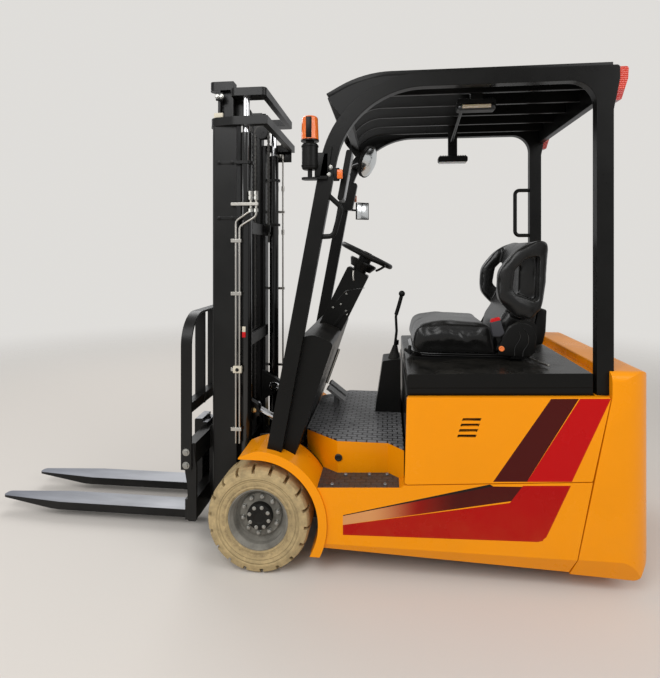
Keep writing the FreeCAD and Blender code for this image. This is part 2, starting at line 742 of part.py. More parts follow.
def vent(index):
    """One of the shallow slots in a side panel, counted up from the lowest."""
    front = VENT_FRONT_X - index * VENT_SHIFT
    low = VENT_LOW_Z + index * VENT_PITCH - VENT_HEIGHT / 2
    corners = [
        (front, low, 4), (front - VENT_LENGTH, low + 3, 4), (front - VENT_LENGTH - 5, low + VENT_HEIGHT, 4),
        (front - 5, low + VENT_HEIGHT - 3, 4),
    ]
    return prism(corners, "xz", BODY_Y - VENT_DEPTH, BODY_Y + 1)


def hood_base_z(x):
    return HOOD_FRONT_Z + (HOOD_FRONT_X - x) * HOOD_SLOPE


def hood_top_z(x):
    return hood_base_z(x) + HOOD_HEIGHT


def chassis_frame():
    """Battery tray, side plates along the floor and the shelf under the dash."""
    narrow = SILL_INNER_Y
    wide = PANEL_INNER_Y
    split = PANEL_FOOT_REAR_Z + 10
    front_top = hood_base_z(TRAY_FRONT_X) - FIT_GAP
    rear_top = hood_base_z(TRAY_REAR_X) - FIT_GAP
    side = [
        (TRAY_FRONT_X, TRAY_FLOOR_Z), (TRAY_FRONT_X, front_top), (TRAY_REAR_X, rear_top),
        (TRAY_REAR_X, TRAY_FLOOR_Z),
    ]
    tray = prism(side, "xz", -narrow, narrow)
    pieces = [tray]
    for x0, x1 in ((TRAY_REAR_X, TRAY_REAR_X + TRAY_WALL), (TRAY_FRONT_X - TRAY_WALL, TRAY_FRONT_X)):
        end_plate = prism(side, "xz", -wide, wide).common(box(x0, x1, -wide, wide, split, CUTTER_TOP_Z))
        pieces.append(end_plate)
    hollow = box(
        TRAY_REAR_X + TRAY_WALL, TRAY_FRONT_X - TRAY_WALL, TRAY_WALL - narrow, narrow - TRAY_WALL,
        TRAY_FLOOR_Z + TRAY_WALL, CUTTER_TOP_Z,
    )
    arch = cross_rod(ARCH_OUTER, 0, AXLE_Z, FRAME_INNER_Y, FRAME_OUTER_Y)
    arch = arch.common(box(FRAME_RISE_X - 30, FRAME_FRONT_X, 0, 400, FRAME_LOW_Z, 600))
    rail = prism(
        [
            (TRAY_FRONT_X - 2, FRAME_LOW_Z + 34), (-200, FRAME_LOW_Z), (-200, 360), (FRAME_RISE_X, 360),
            (FRAME_RISE_X, FLOOR_UNDER_Z), (TRAY_FRONT_X - 2, FLOOR_UNDER_Z),
        ],
        "xz", FRAME_INNER_Y, FRAME_OUTER_Y,
    )
    rear_pin = cross_rod(TILT_PIN_RADIUS, TILT_REAR_PIN[0], TILT_REAR_PIN[1], TILT_Y - 20, FRAME_OUTER_Y - 1)
    boss = cross_rod(TILT_EYE_RADIUS, TILT_REAR_PIN[0], TILT_REAR_PIN[1], TILT_Y + 20, FRAME_OUTER_Y - 1)
    shelf_z = LEG_FOOT[1]
    half = FRAME_OUTER_Y
    shelf = box(SHELF_REAR_X, SHELF_FRONT_X, -half, half, shelf_z - SHELF_THICKNESS, shelf_z)
    web = box(-128, -116, -half, half, AXLE_Z + MOTOR_RISE + MOTOR_RADIUS + 12, shelf_z)
    slot = box(-200, 0, TILT_Y - TILT_SLOT_HALF, TILT_Y + TILT_SLOT_HALF, 435, 700)
    front = cut(fused([shelf, web]), both_sides(slot) + both_sides(arch_cutter(FIT_GAP)))
    for piece in (arch, rail, boss, rear_pin):
        pieces += both_sides(piece)
    body = cut(fused(pieces + [front]), [hollow, floor_tray()])
    return cut(body, [cross_rod(AXLE_RADIUS + FIT_GAP, 0, AXLE_Z, -400, 400)])


def battery():
    middle = (TRAY_FRONT_X + TRAY_REAR_X) / 2
    x0 = middle - BATTERY_LENGTH / 2
    x1 = middle + BATTERY_LENGTH / 2
    half = BATTERY_WIDTH / 2
    z = TRAY_FLOOR_Z + TRAY_WALL
    return box(x0, x1, -half, half, z, z + BATTERY_HEIGHT)


# Dash, steering column and pedals
def cowl_outer():
    corners = [
        (-70, 400), (-86, 506), (-162, 1000, 20), (-230, 1022, 60), (-322, 984, 20), (-158, 506), (-122, 400),
    ]
    return prism(corners, "xz", -GUARD_INNER_Y, GUARD_INNER_Y)


def cowl():
    inner = GUARD_INNER_Y - 10
    hollow = prism(
        [(-84, 400), (-98, 500), (-172, 982), (-226, 1004, 40), (-304, 972), (-146, 506), (-112, 400)],
        "xz", -inner, inner,
    )
    below = box(-300, 0, -FRAME_OUTER_Y, FRAME_OUTER_Y, 300, LEG_FOOT[1])
    slot = box(-220, -40, TILT_Y - TILT_SLOT_HALF, TILT_Y + TILT_SLOT_HALF, 300, 612)
    return cut(cowl_outer(), [hollow, below] + both_sides(slot) + both_sides(arch_cutter(FIT_GAP)))


def lean(distance, across=0.0):
    """A point on the steering column's line, counted down from the wheel's centre."""
    angle = math.radians(WHEEL_LEAN)
    x = WHEEL_CENTRE[0] + distance * math.sin(angle) + across * math.cos(angle)
    z = WHEEL_CENTRE[1] - distance * math.cos(angle) + across * math.sin(angle)
    return (x, z)


def steering_column():
    bottom = COLUMN_TOP + 380
    corners = [
        lean(COLUMN_TOP, -58) + (10,), lean(COLUMN_TOP, 62) + (10,), lean(bottom, 62), lean(bottom, -58),
    ]
    column = prism(corners, "xz", -COLUMN_HALF, COLUMN_HALF)
    x0, z0 = lean(COLUMN_TOP + 4)
    x1, z1 = lean(NECK_TOP)
    neck = rod(NECK_RADIUS, (x0, 0, z0), (x1, 0, z1))
    return cut(fused([column, neck]), [cowl_outer()])


def steering_wheel():
    angle = math.radians(WHEEL_LEAN)
    centre = Vector(WHEEL_CENTRE[0], 0, WHEEL_CENTRE[1])
    axis = Vector(-math.sin(angle), 0, math.cos(angle))
    ring_radius = WHEEL_RADIUS - WHEEL_GRIP
    pieces = [
        Part.makeTorus(ring_radius, WHEEL_GRIP, centre, axis),
        Part.makeCylinder(34, NECK_TOP - FIT_GAP - 6, centre - axis * (NECK_TOP - FIT_GAP), axis),
    ]
    for turn in (90, 210, 330):
        spoke = Part.makeCylinder(9, ring_radius, Vector(0, 0, -14), Vector(1, 0, 0.08))
        spoke.rotate(Vector(0, 0, 0), Vector(0, 0, 1), turn)
        spoke.rotate(Vector(0, 0, 0), Vector(0, 1, 0), -WHEEL_LEAN)
        spoke.translate(centre)
        pieces.append(spoke)
    return fused(pieces)


def pedals():
    pieces = []
    for y in (-60, -170):
        pad = prism(
            [
                (-232, FLOOR_Z + 104), (-244, FLOOR_Z + 112), (-330, FLOOR_Z + 46), (-324, FLOOR_Z + 34),
            ],
            "xz", y - 36, y + 36,
        )
        arm = prism(
            [(-270, FLOOR_Z), (-290, FLOOR_Z), (-290, FLOOR_Z + 72), (-270, FLOOR_Z + 76)],
            "xz", y - 8, y + 8,
        )
        pieces.append(fused([pad, arm]))
    return Part.makeCompound(pieces)


# Levers beside the seat
def lever_console():
    corners = [(-492, FLOOR_Z), (-532, 812, 10), (-626, 824, 4), (-626, FLOOR_Z)]
    return prism(corners, "xz", -190, -10)


def levers():
    base_z = 812 + (592 - 532) * 12 / 94
    tall = fused([
        tube([(-592, -80, base_z + 20), (-606, -80, 960), (-602, -80, 1040), (-632, -80, 1150)], 7, 60),
        Part.makeSphere(17, Vector(-634, -80, 1161)),
        Part.makeCone(30, 12, 70, Vector(-592, -80, base_z - 6), Vector(-0.1, 0, 1)),
    ])
    short = fused([
        rod(6, (-600, -140, base_z - 6), (-606, -140, 880)),
        rod(12, (-606, -140, 876), (-608, -140, 902)),
    ])
    return cut(Part.makeCompound([tall, short]), [lever_console()])


# Hood with the seat on it
def hood():
    rear_base = hood_base_z(HOOD_REAR_X)
    corners = [
        (HOOD_FRONT_X, HOOD_FRONT_Z), (HOOD_FRONT_X, HOOD_FRONT_Z + HOOD_HEIGHT, 10),
        (HOOD_REAR_X, rear_base + HOOD_HEIGHT, 4), (HOOD_REAR_X, rear_base),
    ]
    inner = [
        (HOOD_FRONT_X - HOOD_WALL, HOOD_FRONT_Z - 60),
        (HOOD_FRONT_X - HOOD_WALL, HOOD_FRONT_Z + HOOD_HEIGHT - HOOD_WALL),
        (HOOD_REAR_X + HOOD_WALL, rear_base + HOOD_HEIGHT - HOOD_WALL),
        (HOOD_REAR_X + HOOD_WALL, HOOD_FRONT_Z - 60),
    ]
    shell = prism(corners, "xz", -HOOD_Y, HOOD_Y)
    return cut(shell, [prism(inner, "xz", -HOOD_Y + HOOD_WALL, HOOD_Y - HOOD_WALL)])


def seat_base():
    lower = prism(
        [
            (-680, hood_top_z(-680)), (-676, hood_top_z(-680) + SEAT_PLATE),
            (-1180, hood_top_z(-1180) + SEAT_PLATE), (-1180, hood_top_z(-1180)),
        ],
        "xz", -205, 205,
    )
    upper = prism(
        [(-690, 892), (-684, SEAT_DECK_Z), (-1230, SEAT_DECK_Z), (-1230, 896), (-1000, 884), (-760, 878)],
        "xz", -BACK_HALF, BACK_HALF,
    )
    recliner = prism(
        [
            (-1069, 912), (-1072, 960, 10), (-1110, 1040, 30), (-1170, 1076, 30), (-1232, 1060, 30),
            (-1228, 960, 20), (-1200, 904, 20),
        ],
        "xz", WING_OUTER_Y, WING_OUTER_Y + RECLINER_THICKNESS,
    )
    bracket = box(-1180, -1120, BACK_HALF - 8, WING_OUTER_Y + 10, 894, SEAT_DECK_Z)
    return fused([lower, upper] + both_sides(recliner) + both_sides(bracket))


def seat_cushion():
    side = prism(
        [
            (-668, 940, 30), (-690, 1030, 40), (-820, 1052, 60), (-1040, 1040, 20), (CUSHION_REAR_X, SEAT_DECK_Z),
            (-700, SEAT_DECK_Z, 24),
        ],
        "xz", -CUSHION_HALF, CUSHION_HALF,
    )
    across = prism(
        [
            (-CUSHION_HALF, SEAT_DECK_Z), (-CUSHION_HALF, 1060, 46), (CUSHION_HALF, 1060, 46),
            (CUSHION_HALF, SEAT_DECK_Z),
        ],
        "yz", -1100, -600,
    )
    return side.common(across)


def seat_back():
    rear_x = CUSHION_REAR_X - FIT_GAP
    shell = prism(
        [
            (rear_x, SEAT_DECK_Z), (rear_x - 24, 1050, 60), (-1176, 1196, 60), (-1180, 1330, 60),
            (-1206, 1436, 20), (-1286, 1440, 30), (-1262, 1110, 60), (-1224, SEAT_DECK_Z),
        ],
        "xz", -BACK_HALF, BACK_HALF,
    )
    wing = prism(
        [
            (-1150, 1084, 40), (-1068, 1170, 60), (-1074, 1300, 70), (-1150, 1392, 90), (-1250, 1444, 40),
            (-1292, 1436, 20), (-1280, 1250, 60), (-1262, 1120, 30), (-1215, 1070, 20),
        ],
        "xz", BACK_HALF - 1, WING_OUTER_Y,
    )
    eye = prism(
        [
            (-1136, 1215, 14), (-1146, 1302, 30), (-1200, 1356, 40), (-1258, 1374, 14), (-1250, 1150, 20),
            (-1156, 1188, 20),
        ],
        "xz", BACK_HALF - 2, WING_OUTER_Y + 1,
    )
    return fused([shell] + both_sides(cut(wing, [eye])))


# Overhead guard
def leg_x(z):
    """The front edge of the front leg at a height."""
    return LEG_FOOT[0] - (z - LEG_FOOT[1]) * LEG_LEAN


def guard_bend_centre():
    """The centre of the large bend between the front leg and the roof rail."""
    half = math.radians(90) - math.atan(LEG_LEAN)
    reach = GUARD_BEND / math.tan((math.pi - half) / 2)
    return (leg_x(GUARD_TOP_Z) - reach, GUARD_TOP_Z - GUARD_BEND)


def guard_side():
    """One side of the guard, bent from leg to roof rail to rear post."""
    inner_top = GUARD_TOP_Z - GUARD_RAIL
    front, foot = LEG_FOOT
    post_front = POST_REAR_X + POST_DEPTH
    tail = POST_REAR_X - GUARD_TAIL
    corners = [
        (front, foot), (leg_x(GUARD_TOP_Z), GUARD_TOP_Z, GUARD_BEND), (tail, GUARD_TOP_Z, 12),
        (tail, GUARD_TOP_Z - GUARD_TAIL_DROP), (POST_REAR_X, GUARD_TOP_Z - GUARD_TAIL_FOOT),
        (POST_REAR_X, POST_POCKET_Z), (post_front, POST_POCKET_Z), (post_front, inner_top, POST_GUSSET),
        (leg_x(inner_top) - LEG_WIDTH, inner_top, GUARD_BEND - GUARD_RAIL), (front - LEG_WIDTH, foot),
    ]
    frame = prism(corners, "xz", GUARD_INNER_Y, GUARD_Y)
    return cut(frame, [arch_cutter(FIT_GAP)])


def relay_box():
    """The black box behind the right front leg."""
    inner = GUARD_INNER_Y
    low = GUARD_TOP_Z - 500
    high = GUARD_TOP_Z - 334
    corners = [(leg_x(z) - setback, z, 14) for z, setback in ((low, 40), (high, 40), (high, 100), (low, 98))]
    return prism(corners, "xz", -inner - 1, 52 - inner)


def guard_frame():
    inner = GUARD_INNER_Y
    top = GUARD_TOP_Z
    rear = box(POST_REAR_X - 10, POST_REAR_X + 20, -inner, inner, top - REAR_BAR_DROP, ROOF_COVER_Z)
    y = GUARD_MID_Y
    # drop from the top and setback from the leg's front edge of each corner of the left handle
    bends = ((691, 31), (687, 115), (563, 126), (498, 44))
    near_handle = tube([(leg_x(top - drop) - back, y, top - drop) for drop, back in bends], HANDLE_RADIUS, 30)
    post_front = POST_REAR_X + POST_DEPTH
    reach = post_front + 80
    far_handle = tube(
        [
            (post_front - 12, -y, top - 655), (reach, -y, top - 655), (reach, -y, top - 385),
            (post_front - 12, -y, top - 385),
        ],
        HANDLE_RADIUS, 26,
    )
    return fused(both_sides(guard_side()) + [rear, near_handle, far_handle, relay_box()])


def visor_tip():
    """The visor's lip, ahead of the corner between leg and roof rail."""
    return (leg_x(GUARD_TOP_Z) + VISOR_REACH, GUARD_TOP_Z - VISOR_DROP)


def visor_bend_x():
    """Where the cover's level part and its visor would meet without the bend."""
    return leg_x(GUARD_TOP_Z) - 121


def cover_underside():
    """The underside of the roof cover, from the visor's lip to the rear."""
    tip_x, tip_z = visor_tip()
    bend_x = visor_bend_x()
    return [
        (tip_x - 4, tip_z - 2), (bend_x, ROOF_COVER_Z, VISOR_BEND - ROOF_COVER_THICKNESS),
        (POST_REAR_X - GUARD_TAIL, ROOF_COVER_Z),
    ]


def roof_bar_bend_x():
    return leg_x(GUARD_TOP_Z) - ROOF_BAR_SETBACK


def roof_bar_end(radius, ahead=0.0):
    """A point at the roof bars' front end, on a radius of their bend."""
    turn = math.radians(ROOF_BAR_TURN)
    centre_z = ROOF_COVER_Z - ROOF_BAR_HEIGHT - ROOF_BAR_BEND
    x = roof_bar_bend_x() + radius * math.sin(turn) + ahead * math.cos(turn)
    z = centre_z + radius * math.cos(turn) - ahead * math.sin(turn)
    return (x, z)


def roof_bars():
    """Upright flats under the cover, each bent down at its front end."""
    top = ROOF_COVER_Z
    bottom = top - ROOF_BAR_HEIGHT
    rear = POST_REAR_X + 20
    inner = ROOF_BAR_BEND
    outer = inner + ROOF_BAR_HEIGHT
    reach = math.tan(math.radians(ROOF_BAR_TURN) / 2)
    bend_x = roof_bar_bend_x()
    corners = [
        roof_bar_end(outer), (bend_x + outer * reach, top, outer - 0.01), (rear, top),
        (rear, bottom), (bend_x + inner * reach, bottom, inner - 0.01), roof_bar_end(inner),
    ]
    half = ROOF_BAR_THICKNESS / 2
    below = prism(
        cover_underside() + [(rear, top - 200), (visor_tip()[0], top - 200)], "xz", -GUARD_INNER_Y, GUARD_INNER_Y,
    )
    return Part.makeCompound([prism(corners, "xz", y - half, y + half).common(below) for y in ROOF_BAR_YS])


def crossbar():
    """The flat bar across the front ends of the roof bars."""
    low = ROOF_BAR_BEND - 2
    corners = [
        roof_bar_end(low), roof_bar_end(low, CROSSBAR_THICKNESS),
        roof_bar_end(low + CROSSBAR_HEIGHT, CROSSBAR_THICKNESS), roof_bar_end(low + CROSSBAR_HEIGHT),
    ]
    return prism(corners, "xz", -GUARD_INNER_Y, GUARD_INNER_Y)


def roof_cover():
    """The thin cover with its visor's lip and the cheeks that close the visor's ends."""
    low = ROOF_COVER_Z
    top = low + ROOF_COVER_THICKNESS
    tip_x, tip_z = visor_tip()
    bend_x = visor_bend_x()
    above = [(tip_x, tip_z + 3), (bend_x + 1, top, VISOR_BEND), (POST_REAR_X - GUARD_TAIL, top)]
    plate = prism(above + cover_underside()[::-1], "xz", -GUARD_INNER_Y, GUARD_INNER_Y)
    cheek = prism(
        [
            (tip_x - 2, tip_z), (bend_x - 1, low + 1, VISOR_BEND - ROOF_COVER_THICKNESS),
            (bend_x - 229, low + 1), (bend_x - 229, low - 60), (bend_x - 19, low - 181),
            (tip_x - 63, tip_z - 79, 6),
        ],
        "xz", GUARD_INNER_Y - CHEEK_THICKNESS, GUARD_INNER_Y,
    )
    guard_x, guard_z = guard_bend_centre()
    under = cross_rod(GUARD_BEND - 44, guard_x, guard_z, 0, GUARD_Y)
    return fused([plate, crossbar()] + both_sides(cut(cheek, [under])))


# Lamps and mirrors on the guard
def work_lights():
    """A lamp on each side under the roof, joined by a slim bar that carries their cable."""
    lamps = []
    bar_half = ROOF_BAR_THICKNESS / 2
    bar_low = ROOF_COVER_Z - ROOF_BAR_HEIGHT
    bar_y = ROOF_BAR_YS[-1]
    # x, y, z and height of each lamp's middle, and whether it hangs from the bar's underside
    top = GUARD_TOP_Z
    for x, y, z, height, hangs in ((-950, bar_y - 36, top - 100, 50, False), (-937, -bar_y, top - 212, 36, True)):
        half = LAMP_LENGTH / 2
        low = z - height / 2
        high = z + height / 2
        body = prism(
            [(x + half, low, 12), (x + half, high, 12), (x - half, high, 12), (x - half, low, 12)],
            "xz", y - LAMP_DEPTH / 2, y + LAMP_DEPTH / 2,
        )
        if hangs:
            arm = box(x - 26, x + 26, y - bar_half, y + bar_half, high - 4, bar_low)
        else:
            arm = box(x - 26, x + 26, y - 6, bar_y - bar_half, high - 4, bar_low + 30)
        lamps += [body, arm]
    tie_z = GUARD_TOP_Z - LAMP_TIE_DROP
    lamps.append(rod(LAMP_TIE_RADIUS, (-890, bar_y - 36, tie_z), (-930, -bar_y, tie_z)))
    return fused(lamps)


def tail_lamp():
    """A narrow lamp on the rear edge of the roof rail's end, following its slant."""
    back = POST_REAR_X - GUARD_TAIL
    top = GUARD_TOP_Z - 7
    bend = GUARD_TOP_Z - GUARD_TAIL_DROP
    low = GUARD_TOP_Z - 143
    foot = back + GUARD_TAIL * (bend - low) / (GUARD_TAIL_FOOT - GUARD_TAIL_DROP)
    corners = [
        (back, top), (back - 34, top, 9), (back - 32, bend, 40), (foot - 22, low, 9), (foot, low), (back, bend),
    ]
    return prism(corners, "xz", GUARD_INNER_Y + 3, GUARD_Y - 3)


def beacon_x():
    return leg_x(BEACON_ARM_Z) + BEACON_AHEAD


def beacon():
    x = beacon_x()
    arm_top = BEACON_ARM_Z + BEACON_ARM_THICKNESS
    plate_top = BEACON_ARM_Z + 140
    arm = prism(
        [
            (x - 75, GUARD_Y), (x - 75, GUARD_Y + 12), (x - 27, GUARD_Y + 30, 8), (x + 35, GUARD_Y + 30, 24),
            (x + 35, GUARD_Y - 30, 24), (x - 27, GUARD_Y - 30), (x - 27, GUARD_Y),
        ],
        "xy", BEACON_ARM_Z, arm_top,
    )
    plate = prism(
        [
            (x - 41, BEACON_ARM_Z), (x - 75, BEACON_ARM_Z), (leg_x(plate_top) - 40, plate_top),
            (leg_x(plate_top) - 10, plate_top),
        ],
        "xz", GUARD_Y, GUARD_Y + 6,
    )
    seat_z = BEACON_LENS_Z
    body = post(BEACON_BODY_RADIUS, x, GUARD_Y, BEACON_BODY_Z, BEACON_NECK_Z)
    rims = [edge for edge in body.Edges if edge.BoundBox.ZLength < 1]
    pieces = [
        arm, plate, post(10, x, GUARD_Y, arm_top - 1, BEACON_BODY_Z + 1), body.makeFillet(10, rims),
        post(18, x, GUARD_Y, BEACON_NECK_Z - 2, seat_z - 6), post(BEACON_RADIUS, x, GUARD_Y, seat_z - 7, seat_z),
    ]
    return fused(pieces)


def beacon_lens():
    height = BEACON_TOP_Z - BEACON_LENS_Z
    lens = Part.makeCone(
        BEACON_RADIUS - 1, BEACON_RADIUS - 5, height, Vector(beacon_x(), GUARD_Y, BEACON_LENS_Z),
    )
    top_edges = [edge for edge in lens.Edges if edge.BoundBox.ZMin > BEACON_TOP_Z - 1]
    return lens.makeFillet(12, top_edges)


def mirrors():
    """A flat mirror behind the left leg, a round one and a small one behind the right leg."""
    top = GUARD_TOP_Z
    low = top - 528
    high = top - 308
    corners = [(leg_x(z) - setback, z, 10) for z, setback in ((low, 97), (high, 97), (high, 122), (low, 122))]
    flat = prism(corners, "xz", 330, 452)
    z = top - 418
    x = leg_x(z)
    flat_arm = tube([(x - 39, 478, z), (x - 83, 478, z), (x - 107, 430, z)], 7, 14)
    facing = Vector(-0.86, 0.35, -0.35).normalize()
    z = top - 224
    centre = Vector(leg_x(z) - 135, -300, z)
    dish = Part.makeCylinder(ROUND_MIRROR_RADIUS, 14, centre, facing)
    dome_radius = (ROUND_MIRROR_RADIUS ** 2 + ROUND_MIRROR_DOME ** 2) / (2 * ROUND_MIRROR_DOME)
    ball = Part.makeSphere(dome_radius, centre + facing * (14 + ROUND_MIRROR_DOME - dome_radius))
    cap = Part.makeCylinder(ROUND_MIRROR_RADIUS - 3, ROUND_MIRROR_DOME + 20, centre + facing * 13, facing)
    dish = fused([dish, ball.common(cap)])
    z = top - 234
    x = leg_x(z) - 54
    round_arm = tube([(x, -470, z), (x, -400, z), tuple(centre + facing * 6)], 10, 30)
    small = box(-42, 42, -5, 5, -52, 52)
    small.rotate(Vector(0, 0, 0), Vector(0, 0, 1), 28)
    z = top - 504
    x = leg_x(z)
    small.translate(Vector(x - 159, -440, z))
    small_arm = rod(6, (x - 45, -478, z + 14), (x - 151, -444, z + 4))
    pieces = [fused([flat, flat_arm]), fused([dish, round_arm]), fused([small, small_arm])]
    return cut(Part.makeCompound(pieces), both_sides(guard_side()) + [relay_box()])


# Mast
def outer_mast():
    rail_top = MAST_HEAD_Z - HEAD_TIE_HEIGHT / 2
    tie_low = MAST_HEAD_Z - HEAD_TIE_HEIGHT
    web_y = MAST_OUTER_Y - MAST_WEB
    rear_face = MAST_REAR_X
    front_in = MAST_FRONT_X - MAST_FLANGE
    rear_in = MAST_REAR_X + MAST_FLANGE
    rail = prism(
        [
            (rear_face, MAST_INNER_Y), (rear_face, MAST_OUTER_Y), (MAST_FRONT_X, MAST_OUTER_Y, 12),
            (MAST_FRONT_X, MAST_INNER_Y), (front_in, MAST_INNER_Y), (front_in, web_y), (rear_in, web_y),
            (rear_in, MAST_INNER_Y),
        ],
        "xy", MAST_FOOT_Z, rail_top,
    )
    head = prism(
        [
            (0, HEAD_TIE_Y), (HEAD_TIE_FRONT_X - 130, HEAD_TIE_Y, 90), (HEAD_TIE_FRONT_X, HEAD_TIE_Y - 24, 60),
            (HEAD_TIE_FRONT_X, MAST_INNER_Y), (front_in + 2, MAST_INNER_Y), (front_in + 2, web_y), (0, web_y),
        ],
        "xy", tie_low, MAST_HEAD_Z,
    )
    hook_outer = HOOK_INNER_Y + HOOK_THICKNESS
    reach = rear_face + MAST_FLANGE - 2
    hook = prism(
        [
            (-84, AXLE_Z - 84, 70), (84, AXLE_Z - 84, 70), (reach, FRAME_LOW_Z), (reach, 380),
            (84, AXLE_Z + 84, 60), (-84, AXLE_Z + 84, 70),
        ],
        "xz", HOOK_INNER_Y, hook_outer,
    )
    hook = cut(hook, [cross_rod(AXLE_RADIUS + FIT_GAP, 0, AXLE_Z, 200, 330)])
    pin_x, pin_z = TILT_PIN
    ear_y = TILT_Y + TILT_EYE_WIDTH / 2 + 2
    ear = prism(
        [(pin_x - 26, pin_z - 26, 24), (reach, 520), (reach, 700), (pin_x - 26, pin_z + 26, 24)],
        "xz", ear_y, ear_y + TILT_EAR_THICKNESS,
    )
    pin = cross_rod(TILT_PIN_RADIUS, pin_x, pin_z, TILT_Y - TILT_EYE_WIDTH / 2 - 4, ear_y + 2)
    roller = cross_rod(roller_radius(), roller_x(), TOP_ROLLER_Z, INNER_WEB_OUTER_Y + FIT_GAP, web_y + 1)
    foot = box(LIFT_CYLINDER_X - 30, rear_face + 2, MAST_INNER_Y + 20, MAST_OUTER_Y,
               LIFT_BARREL_FOOT_Z - 16, LIFT_BARREL_FOOT_Z)
    pieces = [rail, head, hook, ear, pin, roller, foot]
    for z in STRAP_ZS:
        strap = prism(
            [
                (LIFT_CYLINDER_X - 36, LIFT_CYLINDER_Y - 28, 20), (LIFT_CYLINDER_X - 36, MAST_OUTER_Y + 5, 24),
                (MAST_FRONT_X - 24, MAST_OUTER_Y + 5), (MAST_FRONT_X - 24, MAST_OUTER_Y),
                (rear_face + 2, MAST_OUTER_Y), (rear_face + 2, LIFT_CYLINDER_Y - 28),
            ],
            "xy", z, z + 14,
        )
        pieces.append(strap)
    half = fused(pieces)
    barrel_hole = post(
        LIFT_BARREL_RADIUS + FIT_GAP, LIFT_CYLINDER_X, LIFT_CYLINDER_Y, LIFT_BARREL_FOOT_Z, LIFT_BARREL_TOP_Z,
    )
    rod_hole = post(
        LIFT_ROD_RADIUS + RAIL_GAP, LIFT_CYLINDER_X, LIFT_CYLINDER_Y, tie_low - 1, MAST_HEAD_Z + 1,
    )
    half = cut(half, [barrel_hole, rod_hole])
    pieces = both_sides(half)
    for z, height in ((96, 90), (900, 60), (CHAIN_REAR_END_Z - 60, 60)):
        pieces.append(box(rear_face - 12, rear_face, -MAST_INNER_Y - 20, MAST_INNER_Y + 20, z, z + height))
    anchor = box(
        SHEAVE_X - CHAIN_TURN - 10, rear_face - 10, CHAIN_Y - CHAIN_WIDTH / 2, CHAIN_Y + CHAIN_WIDTH / 2,
        CHAIN_REAR_END_Z - 40, CHAIN_REAR_END_Z,
    )
    pieces += both_sides(anchor)
    pieces.append(box(0, 30, -HEAD_TIE_Y, HEAD_TIE_Y, tie_low, MAST_HEAD_Z))
    return fused(pieces)


def inner_rear_x():
    return MAST_REAR_X + MAST_FLANGE + RAIL_GAP


def inner_front_x():
    return MAST_FRONT_X - MAST_FLANGE - RAIL_GAP


def roller_x():
    return (MAST_REAR_X + MAST_FRONT_X) / 2


def roller_radius():
    """Rollers that run between the flanges of the inner rails."""
    return (inner_front_x() - inner_rear_x()) / 2 - INNER_FLANGE - FIT_GAP


def inner_mast():
    rear = inner_rear_x()
    front = inner_front_x()
    outer_y = MAST_OUTER_Y - MAST_WEB - RAIL_GAP
    inner_y = MAST_INNER_Y - 2
    web_inner = INNER_WEB_OUTER_Y - INNER_WEB
    top = INNER_HEAD_Z - INNER_CAP_HEIGHT / 2
    cap_low = INNER_HEAD_Z - INNER_CAP_HEIGHT
    web = box(rear, front, web_inner, INNER_WEB_OUTER_Y, INNER_FOOT_Z, top)
    pieces = [web]
    for x in (rear, front - INNER_FLANGE):
        pieces.append(box(x, x + INNER_FLANGE, inner_y, outer_y, INNER_FLANGE_FOOT_Z, top))
    large = (MAST_FRONT_X - MAST_REAR_X) / 2 - MAST_FLANGE - FIT_GAP
    pieces.append(cross_rod(large, roller_x(), ROLLER_Z, web_inner + 2, MAST_OUTER_Y - MAST_WEB - FIT_GAP))
    pieces.append(prism(
        [
            (rear, inner_y + 8), (rear, outer_y), (INNER_CAP_FRONT_X, outer_y, 26),
            (INNER_CAP_FRONT_X, inner_y + 8, 26),
        ],
        "xy", cap_low, INNER_HEAD_Z,
    ))
    tie_y = HEAD_TIE_Y - 12
    pieces.append(prism(
        [
            (LIFT_TIE_REAR_X, tie_y, 20), (rear + 4, tie_y, 20), (rear + 4, inner_y + 10),
            (LIFT_TIE_REAR_X, inner_y + 10),
        ],
        "xy", LIFT_TIE_Z, LIFT_TIE_Z + LIFT_TIE_HEIGHT,
    ))
    pieces.append(box(SHEAVE_X - 20, rear + 4, inner_y, inner_y + 12, SHEAVE_Z - 26, LIFT_TIE_Z + 2))
    pieces.append(cross_rod(10, SHEAVE_X, SHEAVE_Z, CHAIN_Y - CHAIN_WIDTH / 2 - 5, inner_y + 2))
    half = fused(pieces)
    pieces = both_sides(half)
    bar = LIFT_TIE_REAR_X + 29
    pieces.append(box(LIFT_TIE_REAR_X, bar, -inner_y - 20, inner_y + 20, LIFT_TIE_Z, LIFT_TIE_Z + LIFT_TIE_HEIGHT))
    for z, height in ((300, 80), (905, 50), (1485, 50)):
        pieces.append(box(rear - 0.5, rear + INNER_FLANGE, -inner_y - 1, inner_y + 1, z, z + height))
    return fused(pieces)


def sheave():
    """The chain's wheel, with flanges that keep the chain on it."""
    half = CHAIN_WIDTH / 2
    bed = CHAIN_TURN - CHAIN_DEPTH / 2 - FIT_GAP
    bore = 10 + FIT_GAP
    profile = [
        (bore, CHAIN_Y - half - 4), (bed + 5, CHAIN_Y - half - 4), (bed + 5, CHAIN_Y - half - 1),
        (bed, CHAIN_Y - half - 1), (bed, CHAIN_Y + half + 1), (bed + 5, CHAIN_Y + half + 1),
        (bed + 5, CHAIN_Y + half + 4), (bore, CHAIN_Y + half + 4),
    ]
    return turned(profile, SHEAVE_X, SHEAVE_Z)


